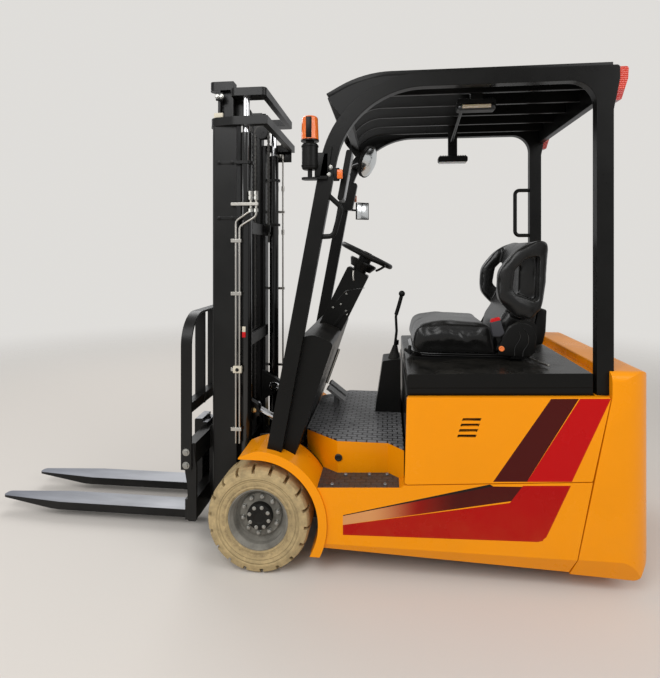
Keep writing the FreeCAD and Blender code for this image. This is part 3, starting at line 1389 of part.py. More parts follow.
def lift_chain():
    """A leaf chain from the outer mast over the sheave and down in front to the carriage."""
    band = CHAIN_DEPTH - 4
    half = CHAIN_WIDTH / 2
    outer = cross_rod(CHAIN_TURN + CHAIN_DEPTH / 2, SHEAVE_X, SHEAVE_Z, CHAIN_Y - half, CHAIN_Y + half)
    inner = cross_rod(CHAIN_TURN - CHAIN_DEPTH / 2, SHEAVE_X, SHEAVE_Z, CHAIN_Y - half - 1, CHAIN_Y + half + 1)
    above = box(SHEAVE_X - 80, SHEAVE_X + 80, 0, 400, SHEAVE_Z, SHEAVE_Z + 80)
    pieces = [cut(outer, [inner]).common(above)]
    for x, end in ((SHEAVE_X - CHAIN_TURN, CHAIN_REAR_END_Z), (SHEAVE_X + CHAIN_TURN, CHAIN_FRONT_END_Z)):
        pieces.append(box(x - band / 2, x + band / 2, CHAIN_Y - half + 3, CHAIN_Y + half - 3, end, SHEAVE_Z))
        count = int((SHEAVE_Z - end) / CHAIN_PITCH)
        for index in range(count):
            z = end + index * CHAIN_PITCH
            links = box(
                x - CHAIN_DEPTH / 2, x + CHAIN_DEPTH / 2, CHAIN_Y - half, CHAIN_Y + half, z, z + CHAIN_PITCH * 0.64,
            )
            pieces.append(links)
    return fused(pieces)


def lift_barrels():
    x = LIFT_CYLINDER_X
    y = LIFT_CYLINDER_Y
    body = post(LIFT_BARREL_RADIUS, x, y, LIFT_BARREL_FOOT_Z, LIFT_BARREL_TOP_Z)
    bore = post(LIFT_ROD_RADIUS + FIT_GAP, x, y, LIFT_BARREL_FOOT_Z + 40, LIFT_BARREL_TOP_Z + 1)
    return pair(cut(body, [bore]))


def lift_rods():
    return pair(post(LIFT_ROD_RADIUS, LIFT_CYLINDER_X, LIFT_CYLINDER_Y, LIFT_BARREL_FOOT_Z + 50, LIFT_TIE_Z))


def pipe_clamp(rear_x, z, height):
    """A clamp that holds pipes off the side of the left rail, past the lift cylinder."""
    foot = box(MAST_REAR_X, MAST_REAR_X + 22, MAST_OUTER_Y, MAST_OUTER_Y + 6, z, z + height)
    return fused([foot, box(rear_x, MAST_REAR_X + 22, MAST_OUTER_Y + 5, PIPE_Y + 9, z, z + height)])


def right_mast_pipes():
    """The straight pipes on the mast's right, drawn on the left and mirrored."""
    pieces = [pipe_clamp(RIGHT_PIPE_XS[-1] - 10, z, 14) for z in RIGHT_PIPE_CLAMP_ZS]
    for x in RIGHT_PIPE_XS:
        pieces.append(post(PIPE_RADIUS, x, PIPE_Y, RIGHT_PIPE_FOOT_Z, RIGHT_PIPE_TOP_Z))
        for z in RIGHT_PIPE_JOINT_ZS + (RIGHT_PIPE_TOP_Z - 15,):
            pieces.append(post(9, x, PIPE_Y, z - 15, z + 15))
    return other_side(fused(pieces))


def mast_pipes():
    """Two steel pipes up the left side of the mast, with their clamps and end fittings."""
    pieces = []
    # x of the lower run, x of the upper run and height of the lower bend
    for low_x, high_x, bend_z in ((156, 84, 1532), (138, 58, 1506)):
        path = [
            (low_x, PIPE_Y, 480), (low_x, PIPE_Y, bend_z), (high_x, PIPE_Y, bend_z + 48),
            (high_x, PIPE_Y, 1640),
        ]
        pieces.append(tube(path, PIPE_RADIUS, 26))
        pieces.append(post(9, high_x, PIPE_Y, 1630, 1672))
    for z in PIPE_CLAMP_ZS:
        pieces.append(box(128, MAST_REAR_X + 22, MAST_OUTER_Y, PIPE_Y + 9, z, z + 16))
    pieces.append(pipe_clamp(48, 1604, 14))
    return Part.makeCompound([fused(pieces), right_mast_pipes()])


# Carriage, backrest and forks
def carriage():
    back = CARRIAGE_BACK_X
    front = back + CARRIAGE_BAR
    half = CARRIAGE_HALF
    pieces = []
    for low in (CARRIAGE_LOW_Z, CARRIAGE_TOP_Z - BAR_HEIGHT):
        pieces.append(box(back, front, -half + 6, half - 6, low, low + BAR_HEIGHT))
    plate = prism(
        [
            (SIDE_PLATE_X, CARRIAGE_LOW_Z + 4, 20), (SIDE_PLATE_X, CARRIAGE_TOP_Z + 20, 20),
            (back + 4, CARRIAGE_TOP_Z + 20, 20), (back + 4, CARRIAGE_LOW_Z + 4),
        ],
        "xz", SIDE_PLATE_Y, SIDE_PLATE_Y + SIDE_PLATE_THICKNESS,
    )
    end = prism(
        [
            (back - 6, CARRIAGE_LOW_Z - 2, 8), (back - 6, 392, 20), (back + 8, CARRIAGE_TOP_Z, 6),
            (front, CARRIAGE_TOP_Z, 6), (front, 386), (front - 14, 300, 30), (front - 14, CARRIAGE_LOW_Z - 2, 8),
        ],
        "xz", half - 14, half,
    )
    pieces += both_sides(plate) + both_sides(end)
    web_inner = INNER_WEB_OUTER_Y - INNER_WEB
    for z in CARRIAGE_ROLLER_ZS:
        roller = cross_rod(roller_radius(), roller_x(), z, SIDE_PLATE_Y + 4, web_inner - FIT_GAP)
        pieces += both_sides(roller)
    return fused(pieces)


def backrest():
    """A hoop of flat bar with uprights and a crossbar, bolted to the carriage's end plates."""
    outer_y = CARRIAGE_HALF + BACKREST_BAR
    inner_y = CARRIAGE_HALF
    top = BACKREST_TOP_Z
    foot = BACKREST_FOOT_Z
    back = CARRIAGE_BACK_X + BACKREST_SETBACK
    front = back + BACKREST_DEPTH
    bend = BACKREST_BEND
    hoop = prism(
        [
            (outer_y, foot), (outer_y, top, bend), (-outer_y, top, bend), (-outer_y, foot),
            (-inner_y, foot), (-inner_y, top - BACKREST_BAR, bend - BACKREST_BAR),
            (inner_y, top - BACKREST_BAR, bend - BACKREST_BAR), (inner_y, foot),
        ],
        "yz", back, front,
    )
    low = BACKREST_CROSSBAR_Z
    pieces = [hoop, box(back + 4, front - 4, -inner_y - 2, inner_y + 2, low, low + 45)]
    for y in BACKREST_UPRIGHT_YS:
        pieces.append(box(back, front, y - BACKREST_BAR / 2, y + BACKREST_BAR / 2, low, top - BACKREST_BAR / 2))
    return fused(pieces)


def fork():
    back = CARRIAGE_BACK_X + CARRIAGE_BAR
    front = back + FORK_THICKNESS
    bottom = FORK_TOP_Z - FORK_THICKNESS
    half = FORK_WIDTH / 2
    corners = [
        (back, bottom, 50), (FORK_TIP_X - 300, bottom), (FORK_TIP_X, FORK_TOP_Z - FORK_TIP_THICKNESS),
        (FORK_TIP_X, FORK_TOP_Z), (front, FORK_TOP_Z, 12), (front, FORK_SHANK_TOP, 8), (back, FORK_SHANK_TOP),
    ]
    blade = prism(corners, "xz", -half, half)
    plan = prism(
        [
            (back - 10, -half), (FORK_TIP_X - 350, -half), (FORK_TIP_X, -24, 20), (FORK_TIP_X, 24, 20),
            (FORK_TIP_X - 350, half), (back - 10, half),
        ],
        "xy", 0, 700,
    )
    pieces = [
        blade.common(plan),
        box(back - FORK_HOOK_REACH, back + 2, -half, half, CARRIAGE_TOP_Z, CARRIAGE_TOP_Z + FORK_HOOK_HEIGHT),
        box(back - FORK_HOOK_REACH, back + 2, -half, half, CARRIAGE_LOW_Z - 20, CARRIAGE_LOW_Z - FIT_GAP),
    ]
    result = fused(pieces)
    result.translate(Vector(0, FORK_Y, 0))
    return result


# Tilt cylinders
def tilt_line(distance):
    """A point on the tilt cylinder's line, counted forward from its rear pin."""
    dx = TILT_PIN[0] - TILT_REAR_PIN[0]
    dz = TILT_PIN[1] - TILT_REAR_PIN[1]
    x = TILT_REAR_PIN[0] + dx * distance / TILT_LENGTH
    z = TILT_REAR_PIN[1] + dz * distance / TILT_LENGTH
    return (x, TILT_Y, z)


def tilt_barrels():
    x, z = TILT_REAR_PIN
    barrel = rod(TILT_BARREL_RADIUS, tilt_line(34), tilt_line(TILT_BARREL_END))
    eye = cross_rod(TILT_EYE_RADIUS, x, z, TILT_Y - 14, TILT_Y + 14)
    neck = rod(14, tilt_line(10), tilt_line(40))
    pin_hole = cross_rod(TILT_PIN_RADIUS + FIT_GAP, x, z, TILT_Y - 40, TILT_Y + 40)
    bore = rod(TILT_ROD_RADIUS + FIT_GAP, tilt_line(90), tilt_line(TILT_BARREL_END + 1))
    return pair(cut(fused([barrel, eye, neck]), [pin_hole, bore]))


def tilt_rods():
    x, z = TILT_PIN
    half = TILT_EYE_WIDTH / 2
    stem = rod(TILT_ROD_RADIUS, tilt_line(150), tilt_line(TILT_LENGTH - 12))
    eye = cross_rod(TILT_EYE_RADIUS, x, z, TILT_Y - half, TILT_Y + half)
    hole = cross_rod(TILT_PIN_RADIUS + TILT_EYE_PLAY, x, z, TILT_Y - 40, TILT_Y + 40)
    return pair(cut(fused([stem, eye]), [hole]))


def main():
    os.makedirs("parts", exist_ok=True)
    save("front_tyre_left", front_tyre())
    save("front_tyre_right", other_side(front_tyre()))
    save("front_rim_left", front_rim())
    save("front_rim_right", other_side(front_rim()))
    save("drive_axle", drive_axle())
    save("rear_tyres", rear_tyres())
    save("rear_rims", rear_rims())
    save("steer_carrier", steer_carrier())
    save("sills", pair(sill()))
    save("fenders", pair(fender()))
    save("side_panels", pair(side_panel()))
    save("counterweight", counterweight())
    save("chassis_frame", chassis_frame())
    save("battery", battery())
    save("floor_tray", floor_tray())
    save("floor_mats", floor_mats())
    save("cowl", cowl())
    save("steering_column", steering_column())
    save("steering_wheel", steering_wheel())
    save("pedals", pedals())
    save("lever_console", lever_console())
    save("levers", levers())
    save("hood", hood())
    save("seat_base", seat_base())
    save("seat_cushion", seat_cushion())
    save("seat_back", seat_back())
    save("guard_frame", guard_frame())
    save("roof_bars", roof_bars())
    save("roof_cover", roof_cover())
    save("work_lights", work_lights())
    save("tail_lamps", pair(tail_lamp()))
    save("beacon", beacon())
    save("beacon_lens", beacon_lens())
    save("mirrors", mirrors())
    save("outer_mast", outer_mast())
    save("inner_mast", Part.makeCompound([inner_mast()] + both_sides(sheave())))
    save("lift_chains", pair(lift_chain()))
    save("lift_barrels", lift_barrels())
    save("lift_rods", lift_rods())
    save("mast_pipes", mast_pipes())
    save("carriage", carriage())
    save("backrest", backrest())
    save("forks", pair(fork()))
    save("tilt_barrels", tilt_barrels())
    save("tilt_rods", tilt_rods())


main()
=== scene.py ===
import math

import bpy
from mathutils import Matrix, Vector


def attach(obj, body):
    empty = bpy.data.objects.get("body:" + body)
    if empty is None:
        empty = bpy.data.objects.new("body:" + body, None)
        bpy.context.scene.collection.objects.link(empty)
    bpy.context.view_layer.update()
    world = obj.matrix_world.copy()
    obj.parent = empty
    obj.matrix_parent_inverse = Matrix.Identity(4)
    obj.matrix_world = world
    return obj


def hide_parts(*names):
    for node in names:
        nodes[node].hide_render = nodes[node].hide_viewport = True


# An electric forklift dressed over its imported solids. Metres, in the frame of the solids:
# +X along the forks, +Y to the driver's left, +Z up from the floor.

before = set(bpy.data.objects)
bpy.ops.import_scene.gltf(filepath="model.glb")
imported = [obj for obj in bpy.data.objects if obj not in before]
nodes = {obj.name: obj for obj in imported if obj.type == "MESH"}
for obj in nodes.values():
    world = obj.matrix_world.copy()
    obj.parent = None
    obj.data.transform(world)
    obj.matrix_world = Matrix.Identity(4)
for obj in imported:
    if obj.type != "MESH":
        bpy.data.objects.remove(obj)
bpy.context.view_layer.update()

MM = 0.001

# Colours as they render, in linear values
ORANGE = (0.82, 0.275, 0.001, 1)
RED = (0.45, 0.001, 0.002, 1)
DEEP_RED = (0.37, 0.0005, 0.0005, 1)
MAROON = (0.058, 0.003, 0.002, 1)
FADED = (0.60, 0.27, 0.10, 1)
# Black of the stripes' thin edge line, also used as painted shade in the vent slots
STRIPE_AND_SLOT_SHADE_BLACK = (0.008, 0.007, 0.006, 1)
SATIN_BLACK = (0.0052, 0.0051, 0.0047, 1)
FORK_BLACK = (0.006, 0.006, 0.006, 1)
# Fork tops: painted sheen standing in for reflected light, paler by the heel and dimmer at the tips
FORK_TOP_PAINTED_SHEEN = (0.46, 0.47, 0.50, 1)
FORK_TIP_PAINTED_SHEEN = (0.20, 0.21, 0.245, 1)
WHEEL_GREY = (0.20, 0.19, 0.165, 1)
CAST_BLACK = (0.03, 0.03, 0.032, 1)
CREAM = (0.42, 0.315, 0.16, 1)
TYRE_BLACK = (0.016, 0.016, 0.016, 1)
MAT_BLACK = (0.02, 0.02, 0.021, 1)
# Painted sheen on the floor mat's raised blocks, standing in for reflected light
MAT_PAINTED_SHEEN = (0.20, 0.20, 0.205, 1)
PLASTIC_BLACK = (0.0045, 0.0044, 0.004, 1)
VINYL_BLACK = (0.0045, 0.0044, 0.004, 1)
BOLT_GREY = (0.36, 0.355, 0.33, 1)
BRASS = (0.62, 0.46, 0.22, 1)
BEIGE = (0.60, 0.55, 0.44, 1)
DUST = (0.33, 0.30, 0.25, 1)
FLOOR = (0.62, 0.585, 0.545, 1)
BACKDROP = (0.74, 0.725, 0.70, 1)
FILL_LIGHT = (0.54, 0.54, 0.54, 1)
MIRRORED = (0.56, 0.56, 0.56, 1)
AMBER = (0.90, 0.17, 0.004, 1)
LENS_RED = (0.62, 0.03, 0.004, 1)
LENS_CLEAR = (0.75, 0.75, 0.73, 1)
LENS_WARM = (0.52, 0.42, 0.28, 1)
BUTTON_RED = (0.50, 0.01, 0.012, 1)
KNOB_ORANGE = (0.85, 0.22, 0.06, 1)


def at(x, y, z):
    """A place in metres, from millimetres ahead of the front axle, to the left and above the floor."""
    return Vector(((x + 74) * MM, y * MM, z * MM))


# Stage
def make_camera():
    """The camera at the photograph's place, level, with the frame shifted down."""
    bpy.ops.object.camera_add(
        location=(-0.4824, 2.630, 1.381), rotation=(math.radians(90), 0, math.radians(186.55)),
    )
    camera = bpy.context.object
    camera.data.sensor_width = 36
    camera.data.lens = 26.51
    camera.data.shift_y = -0.1272
    bpy.context.scene.camera = camera


def area_lamp(place, target, size, power):
    bpy.ops.object.light_add(type="AREA", location=place)
    lamp = bpy.context.object
    lamp.data.shape = "SQUARE"
    lamp.data.size = size
    lamp.data.energy = power
    lamp.rotation_euler = (Vector(target) - Vector(place)).to_track_quat("-Z", "Y").to_euler()


# Node helpers
def add_node(tree, kind, links=None, **values):
    """A node with some sockets set or linked. Keys of links and of socket values are socket names."""
    made = tree.nodes.new(kind)
    sockets = values.pop("sockets", {})
    for name, value in values.items():
        setattr(made, name, value)
    for name, value in sockets.items():
        made.inputs[name].default_value = value
    for name, source in (links or {}).items():
        tree.links.new(source, made.inputs[name])
    return made


def make_group(name, inputs, outputs):
    """An empty shader node group with named inputs (name, kind, default) and outputs (name, kind)."""
    tree = bpy.data.node_groups.new(name, "ShaderNodeTree")
    for label, kind, default in inputs:
        socket = tree.interface.new_socket(name=label, in_out="INPUT", socket_type=kind)
        socket.default_value = default
    for label, kind in outputs:
        tree.interface.new_socket(name=label, in_out="OUTPUT", socket_type=kind)
    return tree, tree.nodes.new("NodeGroupInput"), tree.nodes.new("NodeGroupOutput")


FLOAT = "NodeSocketFloat"
COLOUR = "NodeSocketColor"
VECTOR = "NodeSocketVector"


def grain_group():
    """A fine surface grain: its height for a bump and a slow mottle between 0 and 1."""
    tree, given, out = make_group(
        "surface_grain",
        [("Fine", FLOAT, 400.0), ("Slow", FLOAT, 3.0), ("Stretch", VECTOR, (1.0, 1.0, 1.0))],
        [("Height", FLOAT), ("Mottle", FLOAT)],
    )
    place = add_node(tree, "ShaderNodeTexCoord")
    stretched = add_node(
        tree, "ShaderNodeVectorMath", {0: place.outputs["Object"], 1: given.outputs["Stretch"]},
        operation="MULTIPLY",
    )
    fine = add_node(
        tree, "ShaderNodeTexNoise", {"Vector": stretched.outputs[0], "Scale": given.outputs["Fine"]},
        sockets={"Detail": 4.0, "Roughness": 0.6},
    )
    slow = add_node(
        tree, "ShaderNodeTexNoise", {"Vector": stretched.outputs[0], "Scale": given.outputs["Slow"]},
        sockets={"Detail": 6.0, "Roughness": 0.62},
    )
    tree.links.new(fine.outputs["Fac"], out.inputs["Height"])
    tree.links.new(slow.outputs["Fac"], out.inputs["Mottle"])
    return tree


def dust_group():
    """A mask of settled dust: more on upward faces, near the floor and in patches."""
    tree, given, out = make_group(
        "settled_dust",
        [("Amount", FLOAT, 0.2), ("Floor Height", FLOAT, 0.35), ("Patches", FLOAT, 7.0)],
        [("Mask", FLOAT)],
    )
    place = add_node(tree, "ShaderNodeTexCoord")
    shape = add_node(tree, "ShaderNodeNewGeometry")
    up = add_node(tree, "ShaderNodeSeparateXYZ", {0: shape.outputs["Normal"]})
    height = add_node(tree, "ShaderNodeSeparateXYZ", {0: place.outputs["Object"]})
    low = add_node(
        tree, "ShaderNodeMapRange", {"Value": height.outputs["Z"], "From Min": given.outputs["Floor Height"]},
        sockets={"From Max": 0.0, "To Min": 0.0, "To Max": 1.0},
    )
    facing = add_node(
        tree, "ShaderNodeMapRange", {"Value": up.outputs["Z"]},
        sockets={"From Min": 0.3, "From Max": 1.0, "To Min": 0.0, "To Max": 0.8},
    )
    both = add_node(tree, "ShaderNodeMath", {0: low.outputs[0], 1: facing.outputs[0]}, operation="MAXIMUM")
    patches = add_node(
        tree, "ShaderNodeTexNoise", {"Vector": place.outputs["Object"], "Scale": given.outputs["Patches"]},
        sockets={"Detail": 8.0, "Roughness": 0.7},
    )
    sharper = add_node(
        tree, "ShaderNodeMapRange", {"Value": patches.outputs["Fac"]},
        sockets={"From Min": 0.38, "From Max": 0.7, "To Min": 0.15, "To Max": 1.0},
    )
    mixed = add_node(tree, "ShaderNodeMath", {0: both.outputs[0], 1: sharper.outputs[0]}, operation="MULTIPLY")
    scaled = add_node(
        tree, "ShaderNodeMath", {0: mixed.outputs[0], 1: given.outputs["Amount"]},
        operation="MULTIPLY", use_clamp=True,
    )
    tree.links.new(scaled.outputs[0], out.inputs["Mask"])
    return tree


def edge_group():
    """Softened edges: a rounded normal, and a mask that is 1 along edges with wear, also used for a painted edge
    highlight on the satin black.
    """
    tree, given, out = make_group(
        "soft_edges",
        [("Radius", FLOAT, 0.002), ("Wear", FLOAT, 0.0)],
        [("Normal", VECTOR), ("Mask", FLOAT)],
    )
    place = add_node(tree, "ShaderNodeTexCoord")
    shape = add_node(tree, "ShaderNodeNewGeometry")
    rounded = add_node(tree, "ShaderNodeBevel", {"Radius": given.outputs["Radius"]}, samples=6)
    straight = add_node(
        tree, "ShaderNodeVectorMath", {0: rounded.outputs[0], 1: shape.outputs["Normal"]},
        operation="DOT_PRODUCT",
    )
    bent = add_node(
        tree, "ShaderNodeMapRange", {"Value": straight.outputs["Value"]},
        sockets={"From Min": 0.985, "From Max": 0.86, "To Min": 0.0, "To Max": 1.0},
    )
    breaks = add_node(
        tree, "ShaderNodeTexNoise", {"Vector": place.outputs["Object"]},
        sockets={"Scale": 38.0, "Detail": 6.0, "Roughness": 0.7},
    )
    broken = add_node(
        tree, "ShaderNodeMapRange", {"Value": breaks.outputs["Fac"]},
        sockets={"From Min": 0.48, "From Max": 0.6, "To Min": 0.0, "To Max": 1.0},
    )
    edge_wear_and_highlight = add_node(tree, "ShaderNodeMath", {0: bent.outputs[0], 1: broken.outputs[0]}, operation="MULTIPLY")
    scaled = add_node(
        tree, "ShaderNodeMath", {0: edge_wear_and_highlight.outputs[0], 1: given.outputs["Wear"]},
        operation="MULTIPLY", use_clamp=True,
    )
    tree.links.new(rounded.outputs[0], out.inputs["Normal"])
    tree.links.new(scaled.outputs[0], out.inputs["Mask"])
    return tree


GRAIN = grain_group()
DUST_FILM = dust_group()
EDGES = edge_group()


def start_material(name):
    material = bpy.data.materials.new(name)
    material.use_nodes = True
    tree = material.node_tree
    return material, tree, tree.nodes["Principled BSDF"]


def use_group(tree, group, **sockets):
    made = tree.nodes.new("ShaderNodeGroup")
    made.node_tree = group
    for name, value in sockets.items():
        made.inputs[name.replace("_", " ")].default_value = value
    return made


def mix_colour(tree, factor, first, second):
    """A colour between two others. Each may be a colour or a socket."""
    mix = add_node(tree, "ShaderNodeMix", data_type="RGBA")
    tree.links.new(factor, mix.inputs["Factor"])
    for label, value in (("A", first), ("B", second)):
        socket = [s for s in mix.inputs if s.name == label and s.type == "RGBA"][0]
        if isinstance(value, bpy.types.NodeSocket):
            tree.links.new(value, socket)
        else:
            socket.default_value = value
    return [s for s in mix.outputs if s.type == "RGBA"][0]


def shade(colour, factor):
    return tuple(c * factor for c in colour[:3]) + (1,)


def finish_material(
    name, colour, roughness=0.45, metallic=0.0, coat=0.0, fine=500.0, slow=3.0, bump=0.1, depth=0.0004,
    dust=0.15, dust_colour=DUST, floor_height=0.35, wear=0.0, edge_wear_and_highlight=WHEEL_GREY, radius=0.0022, mottle=0.12,
    stretch=(1.0, 1.0, 1.0), specular=0.15, sheen=0.0, rough_spread=0.12, base=None, relief=None,
    relief_depth=0.002,
):
    """A painted, moulded or cast surface: mottled colour, settled dust, soft edges paler with wear (on the satin black
    partly a painted highlight) and grain.
    """
    material, tree, shader = start_material(name)
    grain = use_group(tree, GRAIN, Fine=fine, Slow=slow, Stretch=stretch)
    film = use_group(tree, DUST_FILM, Amount=dust, Floor_Height=floor_height)
    edges = use_group(tree, EDGES, Radius=radius, Wear=wear)
    tinted = add_node(
        tree, "ShaderNodeMapRange", {"Value": grain.outputs["Mottle"]},
        sockets={"From Min": 0.3, "From Max": 0.7, "To Min": 1 - mottle, "To Max": 1 + mottle},
    )
    ground = add_node(tree, "ShaderNodeVectorMath", {3: tinted.outputs[0]}, operation="SCALE")
    if base:
        tree.links.new(base(tree), ground.inputs[0])
    else:
        ground.inputs[0].default_value = colour[:3]
    dusty = mix_colour(tree, film.outputs["Mask"], ground.outputs[0], dust_colour)
    final = mix_colour(tree, edges.outputs["Mask"], dusty, edge_wear_and_highlight) if wear else dusty
    tree.links.new(final, shader.inputs["Base Color"])
    spread = add_node(
        tree, "ShaderNodeMapRange", {"Value": grain.outputs["Mottle"]},
        sockets={
            "From Min": 0.3, "From Max": 0.7, "To Min": roughness - rough_spread / 2,
            "To Max": roughness + rough_spread / 2,
        },
    )
    rough = add_node(
        tree, "ShaderNodeMath", {0: spread.outputs[0], 1: film.outputs["Mask"]}, operation="ADD", use_clamp=True,
    )
    tree.links.new(rough.outputs[0], shader.inputs["Roughness"])
    normal = edges.outputs["Normal"]
    if relief:
        moulded = add_node(
            tree, "ShaderNodeBump", {"Height": relief(tree), "Normal": normal},
            sockets={"Strength": 1.0, "Distance": relief_depth},
        )
        normal = moulded.outputs[0]
    grained = add_node(
        tree, "ShaderNodeBump", {"Height": grain.outputs["Height"], "Normal": normal},
        sockets={"Strength": bump, "Distance": depth},
    )
    tree.links.new(grained.outputs[0], shader.inputs["Normal"])
    shader.inputs["Metallic"].default_value = metallic
    shader.inputs["Specular IOR Level"].default_value = specular
    shader.inputs["Coat Weight"].default_value = coat
    shader.inputs["Coat Roughness"].default_value = 0.12
    shader.inputs["Sheen Weight"].default_value = sheen
    return material


def lens_material(name, colour, scale, direction, lower=None, split=0.0):
    """A moulded lens with fine ribs along one direction, and another colour below a height if given."""
    material, tree, shader = start_material(name)
    place = add_node(tree, "ShaderNodeTexCoord")
    ribs = add_node(
        tree, "ShaderNodeTexWave", {"Vector": place.outputs["Object"]}, bands_direction=direction,
        sockets={"Scale": scale, "Distortion": 0.0},
    )
    tint = mix_colour(tree, ribs.outputs["Fac"], shade(colour, 0.62), colour)
    if lower:
        parts = add_node(tree, "ShaderNodeSeparateXYZ", {0: place.outputs["Object"]})
        below = add_node(tree, "ShaderNodeMath", {0: parts.outputs["Z"]}, operation="LESS_THAN", sockets={1: split})
        tint = mix_colour(tree, below.outputs[0], tint, lower)
    tree.links.new(tint, shader.inputs["Base Color"])
    relief = add_node(
        tree, "ShaderNodeBump", {"Height": ribs.outputs["Fac"]}, sockets={"Strength": 0.35, "Distance": 0.002},
    )
    tree.links.new(relief.outputs[0], shader.inputs["Normal"])
    shader.inputs["Roughness"].default_value = 0.12
    shader.inputs["Coat Weight"].default_value = 0.6
    shader.inputs["Subsurface Weight"].default_value = 0.2
    shader.inputs["Subsurface Radius"].default_value = (0.01, 0.004, 0.001)
    return material


def mirror_material():
    """Silvered glass with a faint uneven film on it."""
    material, tree, shader = start_material("mirror_glass")
    film = use_group(tree, DUST_FILM, Amount=0.2, Floor_Height=3.0)
    tint = mix_colour(tree, film.outputs["Mask"], (0.78, 0.80, 0.80, 1), (0.55, 0.54, 0.52, 1))
    tree.links.new(tint, shader.inputs["Base Color"])
    rough = add_node(
        tree, "ShaderNodeMapRange", {"Value": film.outputs["Mask"]},
        sockets={"From Min": 0.0, "From Max": 0.3, "To Min": 0.16, "To Max": 0.35},
    )
    tree.links.new(rough.outputs[0], shader.inputs["Roughness"])
    shader.inputs["Metallic"].default_value = 1.0
    return material


def inside_outline(tree, place, corners):
    """1 inside a convex outline seen from the side, its corners in millimetres as (x, z)."""
    points = [at(x, 0, z) for x, z in corners]
    middle = sum(points, Vector()) / len(points)
    mask = None
    for index, start in enumerate(points):
        along = points[(index + 1) % len(points)] - start
        across = Vector((-along.z, 0, along.x)).normalized()
        if across.dot(middle - start) < 0:
            across = -across
        reach = add_node(
            tree, "ShaderNodeVectorMath", {0: place}, operation="DOT_PRODUCT", sockets={1: tuple(across)},
        )
        side = add_node(
            tree, "ShaderNodeMath", {0: reach.outputs["Value"]}, operation="GREATER_THAN",
            sockets={1: across.dot(start)},
        )
        if mask is None:
            mask = side.outputs[0]
        else:
            both = add_node(tree, "ShaderNodeMath", {0: mask, 1: side.outputs[0]}, operation="MULTIPLY")
            mask = both.outputs[0]
    return mask


# The insides of the vents, painted black as the shade in the slots
VENT_SLOTS = tuple(
    ((-841 - 6.5 * row, 622 + 22.7 * row), (-915 - 6.5 * row, 625 + 22.7 * row),
     (-920 - 6.5 * row, 636 + 22.7 * row), (-846 - 6.5 * row, 633 + 22.7 * row))
    for row in range(4)
)

# The clear roof panel's rear edge, in millimetres from the front axle
WINDOW_REAR_X = -905

# Convex outlines of the side stripes as (x, z) in millimetres: upper pair, lower pair and the thin edge
UPPER_MAROON = ((-1212, 792), (-1319, 796), (-1118, 453), (-985, 446))
UPPER_RED = ((-1323, 796), (-1440, 800), (-1292, 462), (-1118, 453))
LOWER_MAROON = ((-977, 427), (-1103, 432), (-1060, 372), (-370, 232), (-370, 270))
LOWER_RED_FRONT = ((-370, 190), (-370, 232), (-1052, 364), (-1170, 300), (-1181, 218), (-1160, 212))
LOWER_RED_REAR = ((-1050, 362), (-1103, 436), (-1288, 446), (-1204, 256), (-1194, 234), (-1178, 219), (-1150, 212))
EDGE_LINE = ((-370, 270), (-372, 274), (-972, 435), (-986, 428))


def striped_base(tree):
    """Body orange with the slanted stripes, only on faces that look to the side, and the vent slots painted black as
    the shade inside them.
    """
    place = add_node(tree, "ShaderNodeTexCoord").outputs["Object"]
    shape = add_node(tree, "ShaderNodeNewGeometry")
    parts = add_node(tree, "ShaderNodeSeparateXYZ", {0: shape.outputs["True Normal"]})
    sideways = add_node(tree, "ShaderNodeMath", {0: parts.outputs["Y"]}, operation="ABSOLUTE")
    flat = add_node(tree, "ShaderNodeMath", {0: sideways.outputs[0]}, operation="GREATER_THAN", sockets={1: 0.96})
    where = add_node(tree, "ShaderNodeSeparateXYZ", {0: place})
    faded = add_node(
        tree, "ShaderNodeMapRange", {"Value": where.outputs["X"]}, interpolation_type="SMOOTHSTEP",
        sockets={"From Min": at(-690, 0, 0).x, "From Max": at(-470, 0, 0).x, "To Min": 0.0, "To Max": 1.0},
    )
    reddened = add_node(
        tree, "ShaderNodeMapRange", {"Value": where.outputs["X"]}, interpolation_type="SMOOTHSTEP",
        sockets={"From Min": at(-860, 0, 0).x, "From Max": at(-600, 0, 0).x, "To Min": 0.0, "To Max": 0.75},
    )
    dark = mix_colour(tree, reddened.outputs[0], MAROON, DEEP_RED)
    pale = mix_colour(tree, faded.outputs[0], dark, FADED)
    colour = ORANGE
    bands = (
        (UPPER_MAROON, MAROON), (UPPER_RED, RED), (LOWER_MAROON, pale), (LOWER_RED_FRONT, DEEP_RED),
        (LOWER_RED_REAR, DEEP_RED), (EDGE_LINE, STRIPE_AND_SLOT_SHADE_BLACK),
    )
    slots = [inside_outline(tree, place, corners) for corners in VENT_SLOTS]
    for corners, tint in bands:
        mask = inside_outline(tree, place, corners)
        shown = add_node(tree, "ShaderNodeMath", {0: mask, 1: flat.outputs[0]}, operation="MULTIPLY")
        colour = mix_colour(tree, shown.outputs[0], colour, tint)
    # The vent slots are painted black as the shade inside them
    for slot in slots:
        colour = mix_colour(tree, slot, colour, STRIPE_AND_SLOT_SHADE_BLACK)
    return colour


